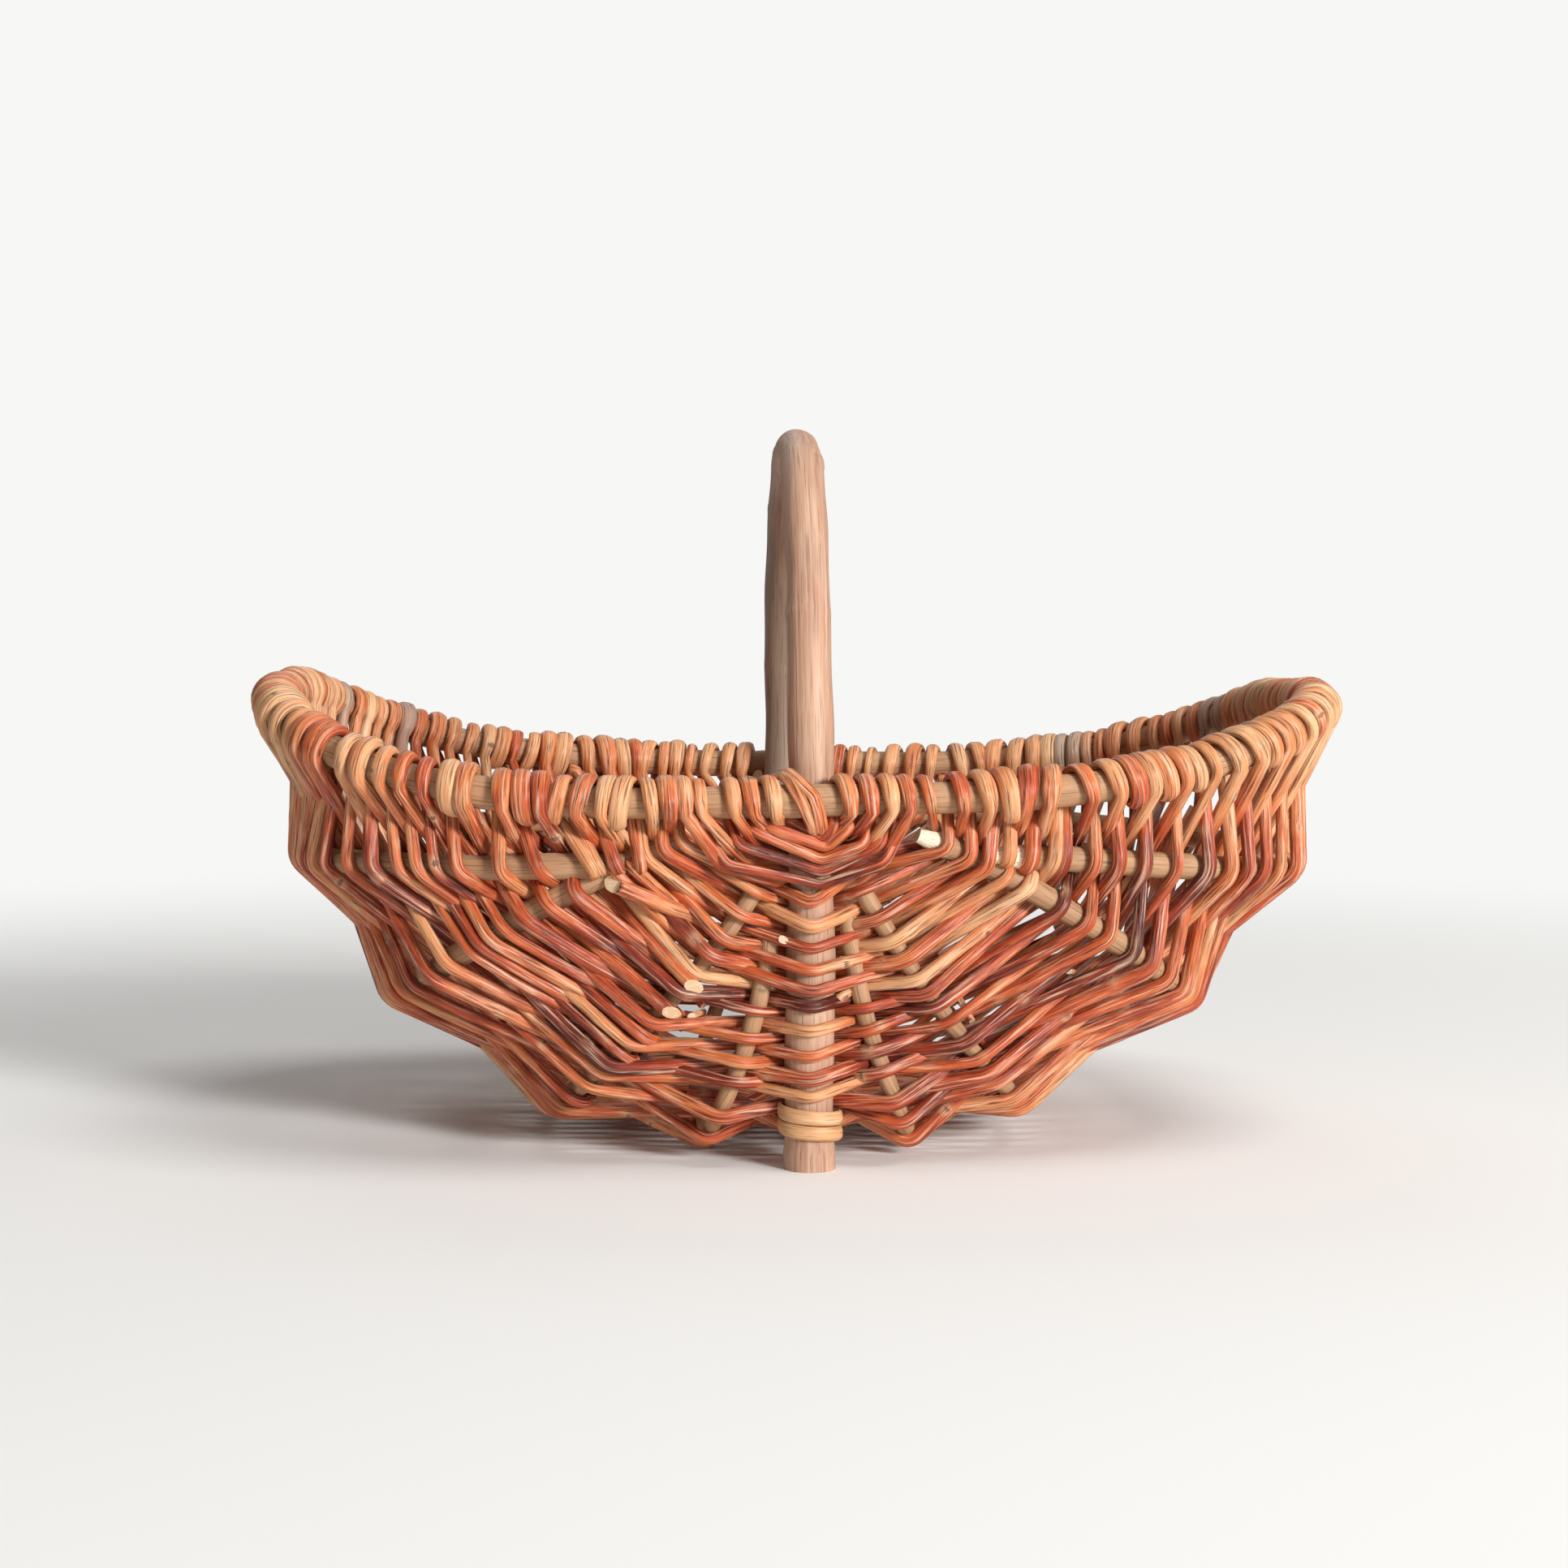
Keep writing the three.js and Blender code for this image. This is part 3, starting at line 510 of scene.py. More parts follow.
# The rows of one half, as one snaking line of knots cut into rods
def weaveHalf(end, bundles):
    rng = random.Random(weave["seeds"][end])
    lines = {side: sideLines(end, side) for side in (-1, 1)}
    nearLines = lines if end < 0 else {side: sideLines(-1, side) for side in (-1, 1)}
    places = {}
    for side, word in ((-1, "left"), (1, "right")):
        for k, control in enumerate(crossings[word]):
            near = nearLines[side][k]
            # The middle plane lies half a row past the last row
            rows = [row for row, _ in control] + [rowCount[side] - 0.5]
            spots = [near.placeAtPixel(column, side) for _, column in control] + [near.length]
            for row in range(rowCount[side]):
                if row < control[0][0]:
                    places[side, k, row] = None
                else:
                    stray = rng.uniform(-1, 1) * weave["jitter"]
                    place = float(np.interp(row, rows, spots)) * lines[side][k].length / near.length
                    places[side, k, row] = place + stray

    # Turns on the hoop share the room between one turn-back and the next
    turns = {}
    for side in (-1, 1):
        starts = range(0, rowCount[side], 2) if side > 0 else range(1, rowCount[side] - 1, 2)
        last = rowCount[side] - 1
        middles = [(places[side, 0, i] + places[side, 0, min(i + 1, last)]) / 2 for i in starts]
        edges = [(a + b) / 2 for a, b in zip(middles, middles[1:])]
        edges = [middles[0] - (edges[0] - middles[0])] + edges + [lines[side][0].length - 1]
        bare = [[nearLines[side][0].placeAtPixel(column, side) for column in pair] for pair in bareRim[side]]
        for j, i in enumerate(starts):
            low, high = edges[j], edges[j + 1]
            for ends in bare:
                a, b = min(ends), max(ends)
                if end < 0 and a < high and b > low:
                    if a - low > high - b:
                        high = a
                    else:
                        low = b
            bands = max(1, int(round((high - low) / hoopTurn["pitch"])))
            inset = hoopTurn["inset"] * ((high - low) / bands)
            turns[side, i] = {"start": low + inset, "finish": high - inset, "bands": bands}

    # Rows above the first rib leave the hoop on its other side
    def isOver(row, line):
        parity = row % 2 == (0 if row < weave["lowRibFrom"] else 1)
        if line == 0 and row < weave["firstRibFrom"]:
            return not parity
        return parity if line % 2 == 0 else not parity

    rodState = {"left": 0, "length": 1, "path": None, "tone": 0, "grey": 0, "number": 0, "swell": False}

    def halfThickness():
        used = max(0.0, 1 - rodState["left"] / rodState["length"])
        half = rodState["butt"] + (rodState["tip"] - rodState["butt"]) * used ** weave["taper"]
        return max(half, packing["stout"]) if rodState["swell"] else half

    def startRod():
        rodState["length"] = rng.uniform(*weave["rodLength"])
        rodState["left"] = rodState["length"]
        rodState["tone"] = float(np.clip(rng.gauss(*weave["tone"]), *weave["toneLimits"]))
        rodState["grey"] = 1.0 if rng.random() < weave["greyShare"] else 0.0
        rodState["butt"] = rng.uniform(*weave["butt"])
        rodState["tip"] = rng.uniform(*weave["tip"])
        rodState["path"] = Path()
        rodState["number"] += 1

    def finishRod():
        path = rodState["path"]
        if path is None or len(path.points) < 3:
            return
        layRod(path, end, bundles, rodState["tone"], rodState["grey"], 1000 * (end + 2) + rodState["number"])

    def knot(point, normal, knee, wrap=0, flat=1.0):
        path = rodState["path"]
        if path.points:
            rodState["left"] -= np.linalg.norm(point - path.points[-1])
        half = halfThickness()
        path.add(point, normal, half * flat, half * (1 + hoopTurn["spread"] * (1 - flat)), knee, wrap)

    # The lowest rib is crossed where the rod between its neighbours is shortest
    def shortestPlace(line, a, b):
        spots = np.linspace(0, line.length, pointCount["search"])
        points = np.stack([line.at(spot) for spot in spots])
        return spots[np.argmin(np.linalg.norm(points - a, axis=1) + np.linalg.norm(points - b, axis=1))]

    # A place on a line of the frame: the point, the line's way there and the way out of the bowl
    def onLine(line, place):
        centre, tangent = line.at(place), line.tangent(place)
        out = wayOut(centre)
        return centre, tangent, unit(out - tangent * (out @ tangent))

    def crossing(row, side, k, number):
        if k == 4:
            beside = lines[side][3].at(places[side, 3, row])
            place = shortestPlace(lines[side][4], beside, middlePoint(number)[0])
        else:
            place = places[side, k, row]
        if place is None:
            return
        line = lines[side][k]
        centre, _, out = onLine(line, place)
        sign = 1 if isOver(row, k) else -1
        lift = line.radius + halfThickness() + weave["press"]
        if rodState["swell"]:
            lift += weave["standOff"]
        point = centre + sign * lift * out
        point[2] = max(point[2], weave["ridgeRoom"] * halfThickness() + weave["clear"])
        knot(point, sign * out, weave["knee"])
        if sign < 0 and rodState["left"] < weave["spare"] and len(rodState["path"].points) > 2:
            changeRod(point, out)

    def changeRod(point, out):
        along = unit(point - rodState["path"].points[-2])
        knot(point + rodJoin["tail"] * along - rodJoin["tailInside"] * out, -out, rodJoin["bend"])
        finishRod()
        startRod()
        knot(point - rodJoin["lead"] * along - rodJoin["leadInside"] * out, -out, rodJoin["bend"])
        knot(point - rodJoin["leadInside"] * out, -out, rodJoin["ribBend"])

    # Where a pass crosses the leg or the keel rib: the point, the way out there and the rod's radius
    def middlePoint(number):
        if number <= lastLegPass:
            height = float(np.interp(number / 2, range(len(legHeights)), legHeights))
            radius = np.interp(height, [0, hoopShape["height"]], [bowShape["footRadius"], bowShape["radius"]])
            return np.array([0, end * bowShape["legY"], height]), np.array([0, float(end), 0]), radius
        y = max(0.0, keelRows["first"] - keelRows["pitch"] * (number - lastLegPass - 1))
        return np.array([0, end * y, keelShape["height"]]), np.array([0, 0, -1.0]), keelShape["radius"]

    def middle(number):
        point, out, radius = middlePoint(number)
        sign = 1 if number % 2 == 0 else -1
        if number < weave["lowRibFrom"] and sign > 0:
            radius += weave["standOff"]
        knot(point + sign * (radius + halfThickness() + weave["press"]) * out, sign * out, weave["knee"])

    # Turns round the hoop between a row and the next, from where one lies to where the other does
    def turnBack(side, row):
        turn = turns[side, row]
        line = lines[side][0]
        first, last = (hoopTurn["outAngle" if isOver(i, 0) else "inAngle"] for i in (row, row + 1))
        way = 1 if first < 90 else -1
        sweep = last - first
        while way * sweep < 180:
            sweep += way * 360
        sweep += way * 360 * (turn["bands"] - 1)
        steps = max(hoopTurn["leastSteps"], int(abs(sweep) / hoopTurn["step"]))
        slack = rng.uniform(*hoopTurn["slack"])
        lean = rng.uniform(*hoopTurn["lean"])
        for i in range(steps + 1):
            t = i / steps
            eased = t * t * (3 - 2 * t) * hoopTurn["easing"] + t * (1 - hoopTurn["easing"])
            place = turn["start"] + (turn["finish"] - turn["start"]) * eased
            centre, tangent = line.at(place), line.tangent(place)
            outward = unit(np.array([tangent[1], -tangent[0], 0]))
            if outward @ np.array([centre[0], centre[1], 0]) < 0:
                outward = -outward
            up = unit(np.cross(outward, tangent))
            if up[2] < 0:
                up = -up
            angle = math.radians(first + sweep * t)
            radial = math.cos(angle) * outward + math.sin(angle) * up
            reach = line.radius + hoopTurn["gap"] + halfThickness() * hoopTurn["flat"] + slack
            fade = min(1.0, hoopTurn["pressedFrom"] * t, hoopTurn["pressedFrom"] * (1 - t))
            flat = 1 - (1 - hoopTurn["flat"]) * fade
            knot(centre + radial * reach + tangent * lean * math.cos(angle), radial, 0, 1, flat)

    def earKnee(row, where):
        if row in earWork[where]:
            deep = earWork["legDepth"] if where == "middle" else earWork["hoopDepths"][row % 2]
            point = placeInPicture(*earWork[where][row], -deep)
            point[1] *= -end
            knot(point, np.array([0, end, 0.0]), earWork["bend"])

    # Rods packed in beside the leg: one down from the rim to the third rib, and one back up
    def pack(row, number):
        side, last = packing["side"], packing["line"]
        ends = number in packing["butts"]
        rodState["swell"] = ends
        if ends:
            rodState["grey"] = 0.0
        for k in range(1, last + 1):
            crossing(row, side, k, number)
        path = rodState["path"]
        along = unit(path.points[-1] - path.points[-2])
        line = lines[side][last]
        centre, _, out = onLine(line, (places[side, last, row] + places[side, last, row + 1]) / 2)
        if ends:
            knot(path.points[-1] + packing["past"] * along, out, packing["buttBend"])
            path.slant = True
            finishRod()
            startRod()
            rodState["grey"] = 0.0
            inside = line.at(places[side, last, row + 1]) - (line.radius + packing["return"]) * out
            knot(inside + rodJoin["lead"] * along, -out, rodJoin["bend"])
        else:
            inward = unit(along - out * (along @ out))
            reach = line.radius + halfThickness() + packing["hairpinGap"]
            for angle in packing["hairpin"]:
                turn = math.radians(angle)
                knot(centre + reach * (math.cos(turn) * out + math.sin(turn) * inward), out, 0)
        rodState["swell"] = False
        for k in range(last, 0, -1):
            crossing(row + 1, side, k, number)

    startRod()
    row = {-1: 0, 1: 0}
    for column, line, deep in earWork["start"]:
        start = placeInPicture(column, line, deep)
        start[1] *= -end
        knot(start, np.array([0, end, 0.0]), earWork["startBend"])
    for number in range(passCount):
        way = 1 if number % 2 == 0 else -1
        reached = 4 if number >= weave["lowRibFrom"] else 3
        earKnee(row[-way], "left" if way > 0 else "right")
        for k in range(1, reached + 1):
            crossing(row[-way], -way, k, number)
        if number in earWork["middle"]:
            earKnee(number, "middle")
        else:
            middle(number)
        for k in range(reached, 0, -1):
            crossing(row[way], way, k, number)
        earKnee(row[way], "right" if way > 0 else "left")
        if number < passCount - 1:
            turnBack(way, row[way])
            if way == packing["side"] and number in packing["after"]:
                pack(row[way] + 1, number)
                row[way] += 2
                turnBack(way, row[way])
        row[-1] += 1
        row[1] += 1
    finishRod()


def waves(arc, rng, parts):
    return sum(height * np.sin(arc / rng.uniform(*length) + rng.uniform(0, 6)) for height, length in parts)


# Cuts a laid rod into the pieces that it belongs to and adds them to their bundles
def layRod(path, end, bundles, tone, grey, seed):
    arc, points, normals, values = path.laid(weave["step"])
    wrapped = values[:, 2]
    rng = np.random.default_rng(seed + 7)
    across = unit(np.cross(np.gradient(points, axis=0), normals))
    sway = waves(arc, rng, growth["sway"])
    loose = np.convolve(1 - wrapped, np.ones(growth["looseRings"]) / growth["looseRings"], mode="same") ** 3
    points = points + across * (weave["wander"] * sway * loose)[:, None]
    rings, grain, scar = willowRings(arc, points, normals, values[:, 0], values[:, 1], seed, weave["sides"])
    if path.slant:
        ahead = unit(points[-1] - points[-3])
        for back, share in ((1, 1), (2, 0.6), (3, 0.25)):   # the cut slants through the last three rings
            height = (rings[-back] - points[-back]) @ wayOut(points[-1])
            rings[-back] -= share * weave["slant"] * height[:, None] * ahead
    drift = waves(arc, rng, growth["tone"])
    ashen = grey * (growth["greyMiddle"] + waves(arc, rng, growth["grey"]))
    # Painted highlight: the turns round the hoop are made paler where the rim's top catches the light
    wrapHighlight = np.convolve(wrapped, np.ones(growth["wrapHighlightRings"]) / growth["wrapHighlightRings"], mode="same")
    shown = tone + drift + wrapHighlight * (growth["wrapHighlightTone"][0] - growth["wrapHighlightTone"][1] * tone)
    looks = ringLooks(shown, np.clip(ashen, 0, 1), scar)
    owner = np.where(wrapped > 0.5, np.where(points[:, 0] < 0, 1, 2), 0)
    starts = [0] + [i for i in range(1, len(owner)) if owner[i] != owner[i - 1]] + [len(owner)]
    for a, b in zip(starts, starts[1:]):
        stop = min(b + 1, len(owner))
        if stop - a < 2:
            continue
        bundle = bundles[end, int(owner[a])]
        bundle.addRings(rings[a:stop], grain[a:stop], looks[a:stop], a == 0, stop == len(owner))


# Distance between rings on short rods and bindings
fineStep = 1.5
# Short ends of rods that stand out of the near side, each at a place in the picture: the way it
# points in degrees, its length in pixels, half thickness, tone, and how far it stands out
looseEnds = [
    (757, 1090, 202, 118, 3.3, 0.55, 9), (852, 1252, 160, 16, 1.3, 0.9, 11),
    (965, 1158, 205, 26, 1.6, 0.85, 9), (707, 1339, 42, 120, 2.9, 0.75, 6),
    (797, 1285, 185, 80, 2.0, 0.3, 8), (1163, 1204, 150, 16, 1.3, 0.95, 8),
    (1186, 1238, 60, 20, 1.4, 0.6, 6), (1198, 1258, 60, 22, 1.5, 0.6, 6),
    (1212, 1288, 55, 24, 1.3, 0.35, 6), (1347, 1220, 25, 26, 1.5, 0.5, 6),
    (1316, 1196, 200, 14, 1.4, 0.85, 7), (826, 1117, 10, 34, 1.9, 0.7, 7),
    (1029, 1232, 150, 22, 1.9, 0.8, 8),
]


# Each is drawn through these parts of its length. The wall's depth there is that of the frame lines
# around it, weighed by their distance in pixels.
looseShape = {"knots": (1, 0.66, 0.33, 0), "evenWithin": 30, "fallOff": 1.5, "seed": 900}


def addLooseEnds(bundle):
    wall = np.concatenate([frameLine.points for side in (-1, 1) for frameLine in sideLines(-1, side)])
    wallAcross, wallDown = photoPixels(wall)

    def wallDepth(column, line):
        away = (wallAcross - column) ** 2 + (wallDown - line) ** 2
        weight = 1 / (away + looseShape["evenWithin"]) ** looseShape["fallOff"]
        return float((wall[:, 1] * weight).sum() / weight.sum())

    for number, (column, line, angle, length, half, tone, stands) in enumerate(looseEnds):
        way = np.array([math.cos(math.radians(angle)), math.sin(math.radians(angle))])
        path = Path()
        for share in looseShape["knots"]:
            place = np.array([column, line]) - share * length * way
            deep = wallDepth(*place) - stands * (1 - share ** 2)
            path.add(placeInPicture(*place, deep), (0, -1, 0), half, half, 0)
        arc, points, normals, values = path.laid(fineStep)
        thick, wide = values[:, 0], values[:, 1]
        seed = looseShape["seed"] + number
        rings, grain, scar = willowRings(arc, points, normals, thick, wide, seed, weave["sides"])
        height = (rings[-1] - points[-1]) @ np.array([0, -1, 0])
        rings[-1] -= weave["slant"] * height[:, None] * unit(points[-1] - points[-2])
        bundle.addRings(rings, grain, ringLooks(tone, 0.0, scar), False, True)


# sRGB hex to the linear values that a socket takes
def linear(hexColour):
    channels = [int(hexColour[i:i + 2], 16) / 255 for i in (1, 3, 5)]
    return [c / 12.92 if c <= 0.04045 else ((c + 0.055) / 1.055) ** 2.4 for c in channels] + [1.0]


# Adds a node with its settings, and links its inputs: a value, or another node's output
def addNode(tree, kind, settings=None, inputs=None):
    node = tree.nodes.new(kind)
    for name, value in (settings or {}).items():
        setattr(node, name, value)
    for name, value in (inputs or {}).items():
        if isinstance(value, bpy.types.NodeSocket):
            tree.links.new(value, node.inputs[name])
        else:
            node.inputs[name].default_value = value
    return node


def setRamp(node, stops):
    ramp = node.color_ramp
    while len(ramp.elements) > 1:
        ramp.elements.remove(ramp.elements[-1])
    for i, (position, colour) in enumerate(stops):
        element = ramp.elements[0] if i == 0 else ramp.elements.new(position)
        element.position = position
        element.color = linear(colour) if isinstance(colour, str) else (colour, colour, colour, 1)


# What all barks share
bark = {
    "blotchWidth": 0.3,         # of its length
    "bloomAndSheenIn": (0.52, 0.68),    # values of its noise over which the bloom and painted sheen come in
    "crackOut": (0.3, 0.46),    # and over which a crack goes out
    "ashen": 0.95, "ashenShift": 0.35,
    "paleShift": 0.6,
    "bruiseEdge": 5.0,          # how sharp it is
    "bruiseFrom": 0.85, "bruiseBlotch": 0.5,
    "rough": 0.35,              # how much the streaks vary the roughness
    "streakRelief": 0.8, "crackRelief": 0.5,
    "ior": 1.45,
}


# Bark that runs along a rod: long streaks, fine cracks and blotches, and a satin skin. Lengths and
# widths of its marks are in millimetres along and round the rod.
def barkMaterial(name, look):
    material = bpy.data.materials.new(name)
    material.use_nodes = True
    tree = material.node_tree
    tree.nodes.clear()
    output = addNode(tree, "ShaderNodeOutputMaterial")
    parts = {}
    for word in ("grain", "tone", "grey", "scar"):
        attribute = addNode(tree, "ShaderNodeAttribute", {"attribute_name": word})
        parts[word] = attribute.outputs["Vector" if word == "grain" else "Fac"]

    # Noises stretched along the rod: length, width, detail and roughness
    noises = {
        "blotch": (look["blotch"], look["blotch"] * bark["blotchWidth"], 3.0, 0.55),
        "streak": (look["streakLong"], look["streakWide"], 4.0, 0.6),
        "crack": (look["crackLong"], look["crackWide"], 2.0, 0.5),
        "bloomAndSheen": (look["bloomAndSheenLong"], look["bloomAndSheenWide"], 3.0, 0.55),
    }
    for word, (long, wide, detail, roughness) in noises.items():
        mapped = addNode(tree, "ShaderNodeMapping", {}, {
            "Vector": parts["grain"], "Scale": (1 / long, 1 / wide, 1 / wide)})
        noise = addNode(tree, "ShaderNodeTexNoise", {}, {
            "Vector": mapped.outputs[0], "Scale": 1.0, "Detail": detail, "Roughness": roughness})
        parts[word] = noise.outputs["Fac"]
    for word, source, limits, values in (
        ("bloomAndSheenMask", "bloomAndSheen", bark["bloomAndSheenIn"], (0.0, look["bloomAndSheenShare"])),
        ("cracked", "crack", bark["crackOut"], (look["crackDark"], 1.0)),
    ):
        ramp = addNode(tree, "ShaderNodeValToRGB", {}, {"Fac": parts[source]})
        setRamp(ramp, zip(limits, values))
        parts[word] = ramp.outputs[0]

    # Each part is the first value times the second, plus the third. A bruise stays between none and full.
    offset = -0.5 * (look["blotchShare"] + look["streakShare"])
    edge = bark["bruiseEdge"]
    for word, *values in (
        ("shade", "blotch", look["blotchShare"], "tone"),
        ("shade", "streak", look["streakShare"], "shade"),
        ("shade", "shade", 1.0, offset),
        ("ashen", "blotch", bark["ashen"], bark["ashen"] * bark["ashenShift"]),
        ("ashen", "ashen", "grey", 0.0),
        ("paleScar", "streak", look["scarPale"], bark["paleShift"] * look["scarPale"]),
        ("paleScar", "paleScar", "scar", 0.0),
        ("deep", "blotch", bark["bruiseBlotch"] * edge, -bark["bruiseFrom"] * edge),
        ("bruise", "scar", edge, "deep"),
        ("bruise", "bruise", look["scarShare"], 0.0),
        ("rough", "streak", bark["rough"], look["roughness"] - 0.5 * bark["rough"]),
        ("relief", "streak", bark["streakRelief"], 0.0),
        ("relief", "cracked", bark["crackRelief"], "relief"),
    ):
        inputs = {i: parts[value] if isinstance(value, str) else value for i, value in enumerate(values)}
        settings = {"operation": "MULTIPLY_ADD", "use_clamp": word == "bruise"}
        parts[word] = addNode(tree, "ShaderNodeMath", settings, inputs).outputs[0]

    ramp = addNode(tree, "ShaderNodeValToRGB", {}, {"Fac": parts["shade"]})
    setRamp(ramp, look["colours"])
    colour = ramp.outputs[0]
    # The bloom colour mixed in here is partly a painted highlight: a pale sheen in long streaks on the bark
    for share, word in (("bloomAndSheenMask", "bloomAndSheen"), ("ashen", "grey"), ("paleScar", "scarRim"), ("bruise", "scar")):
        mix = addNode(tree, "ShaderNodeMix", {"data_type": "RGBA"}, {
            0: parts[share], 6: colour, 7: linear(look[word])})
        colour = mix.outputs[2]
    dark = addNode(tree, "ShaderNodeMix", {"data_type": "RGBA", "blend_type": "MULTIPLY"}, {
        0: 1.0, 6: colour, 7: parts["cracked"]})
    bump = addNode(tree, "ShaderNodeBump", {}, {
        "Strength": look["bumpStrength"], "Distance": look["bumpHeight"] * millimetre,
        "Height": parts["relief"]})
    shader = addNode(tree, "ShaderNodeBsdfPrincipled", {}, {
        "Base Color": dark.outputs[2], "Roughness": parts["rough"], "IOR": bark["ior"],
        "Specular IOR Level": look["specular"], "Normal": bump.outputs[0]})
    tree.links.new(shader.outputs[0], output.inputs[0])
    return material


# Willow weavers, boiled and stripped: amber, orange and red brown, satin, with fine wrinkles along
# them, pale pinkish bloom on the ridges that is partly a painted highlight, and a bruised scar at each bud
buffWillow = barkMaterial("buffWillow", {
    "colours": [(0.0, "#561A0E"), (0.18, "#8C311A"), (0.38, "#BA5029"), (0.56, "#CE7443"), (0.75, "#DA9765"),
                (1.0, "#E1AF80")],
    # Its bloom is pale pinkish bloom and a painted highlight in one
    "bloomAndSheen": "#F3C8A8", "bloomAndSheenShare": 0.62, "bloomAndSheenLong": 26, "bloomAndSheenWide": 1.2, "grey": "#AA9584",
    "scar": "#5A2A2A", "scarShare": 0.7, "scarRim": "#E0B488", "scarPale": 0.75,
    "blotch": 26, "blotchShare": 0.75, "streakLong": 34, "streakWide": 0.95, "streakShare": 0.75,
    "crackLong": 15, "crackWide": 0.75, "crackDark": 0.28,
    "roughness": 0.4, "specular": 0.5, "bumpStrength": 0.9, "bumpHeight": 0.7,
})
# Rods of the ribs and rim in their dry bark: khaki brown with a reddish cast, dull
dryRod = barkMaterial("dryRodBark", {
    "colours": [(0.0, "#7C563E"), (0.35, "#A67B5A"), (0.65, "#C0966F"), (1.0, "#D4AF87")],
    "bloomAndSheen": "#B98F74", "bloomAndSheenShare": 0.5, "bloomAndSheenLong": 30, "bloomAndSheenWide": 3, "grey": "#F7E9CC",
    "scar": "#5F4334", "scarShare": 0.6, "scarRim": "#C9A982", "scarPale": 0.3,
    "blotch": 40, "blotchShare": 0.5, "streakLong": 40, "streakWide": 0.9, "streakShare": 0.6,
    "crackLong": 20, "crackWide": 0.6, "crackDark": 0.55,
    "roughness": 0.6, "specular": 0.4, "bumpStrength": 0.6, "bumpHeight": 0.4,
})
# The handle rod, barked and worn smooth by hands: pinkish tan with darker streaks, and grey on its
# far leg, weathered bark and painted shade in one
wornHandle = barkMaterial("wornHandleWood", {
    "colours": [(0.0, "#845D4A"), (0.28, "#AC816A"), (0.52, "#C0967B"), (0.78, "#CAA286"), (1.0, "#D3B094")],
    # Its grey goes on the far leg: weathered bark and painted shade in one
    "bloomAndSheen": "#D6B59B", "bloomAndSheenShare": 0.5, "bloomAndSheenLong": 60, "bloomAndSheenWide": 4, "grey": "#93806F",
    "scar": "#6B4A3A", "scarShare": 0.7, "scarRim": "#DCC2A2", "scarPale": 0.4,
    "blotch": 60, "blotchShare": 0.55, "streakLong": 70, "streakWide": 1.3, "streakShare": 0.75,
    "crackLong": 30, "crackWide": 0.7, "crackDark": 0.62,
    "roughness": 0.48, "specular": 0.45, "bumpStrength": 0.6, "bumpHeight": 0.5,
})
# Split and shaved willow of the foot bands: pale straw, smooth
paleSkein = barkMaterial("paleSkeinWillow", {
    "colours": [(0.0, "#A8713F"), (0.4, "#CC9563"), (0.7, "#DDAE7F"), (1.0, "#EACAA0")],
    "bloomAndSheen": "#ECCDA8", "bloomAndSheenShare": 0.5, "bloomAndSheenLong": 30, "bloomAndSheenWide": 2, "grey": "#B9A184",
    "scar": "#9A6A3C", "scarShare": 0.3, "scarRim": "#E8CFA2", "scarPale": 0.2,
    "blotch": 20, "blotchShare": 0.5, "streakLong": 30, "streakWide": 0.8, "streakShare": 0.8,
    "crackLong": 14, "crackWide": 0.6, "crackDark": 0.6,
    "roughness": 0.45, "specular": 0.5, "bumpStrength": 0.6, "bumpHeight": 0.4,
})
# End grain where a rod was cut: cream wood, matte
cutEnd = barkMaterial("cutWillowEnd", {
    "colours": [(0.0, "#C99C74"), (0.5, "#E6C29C"), (1.0, "#F2D9BC")],
    "bloomAndSheen": "#F6E2CA", "bloomAndSheenShare": 0.5, "bloomAndSheenLong": 2, "bloomAndSheenWide": 2, "grey": "#CDB296",
    "scar": "#C9A284", "scarShare": 0.2, "scarRim": "#E6C29C", "scarPale": 0.1,
    "blotch": 2, "blotchShare": 0.5, "streakLong": 1, "streakWide": 0.6, "streakShare": 0.4,
    "crackLong": 1, "crackWide": 0.5, "crackDark": 0.7,
    "roughness": 0.8, "specular": 0.3, "bumpStrength": 0.4, "bumpHeight": 0.3,
})
print("materials made")


bundles = {(end, owner): Bundle() for end in (-1, 1) for owner in (0, 1, 2)}
for end in (-1, 1):
    weaveHalf(end, bundles)
addLooseEnds(bundles[-1, 0])
weavePieces = [
    (-1, 0, "weaversNear", "woven_body_near"), (1, 0, "weaversFar", "woven_body_far"),
    (-1, 1, "hoopTurnsNearLeft", "rim_wrap_near_left"), (-1, 2, "hoopTurnsNearRight", "rim_wrap_near_right"),
    (1, 1, "hoopTurnsFarLeft", "rim_wrap_far_left"), (1, 2, "hoopTurnsFarRight", "rim_wrap_far_right"),
]
for end, owner, name, node in weavePieces:
    bundles[end, owner].make(name, buffWillow, cutEnd, "weaver_willow", node)
print("weave laid")


# Rods of the frame are a little uneven, as grown wood is, and two ribs have a whittled end that
# stands out of the weave
frameWood = {
    "tone": 0.5, "sides": 20, "step": 3, "wander": 0.35, "joint": 0.03, "apart": (26, 58), "ridges": 0.012,
    "stillEnd": 15,     # it doesn't wander this near to its ends
    "sway": 0.6, "waves": 3, "fineWaves": 9, "fine": 0.5,   # waves over its whole length, and their heights
}
handleWood = {"sides": 32, "step": 2.5, "wander": bowShape["wander"], "joint": 0.045, "apart": (55, 95)}
whittled = {"thinner": 0.42, "length": 12, "out": 3.5, "outLength": 28, "cream": 14.4, "creamFade": 4}
weatheredAndShaded = {"from": 24, "fade": 60}    # how far behind the middle the handle turns grey, weathered bark and painted shade in one
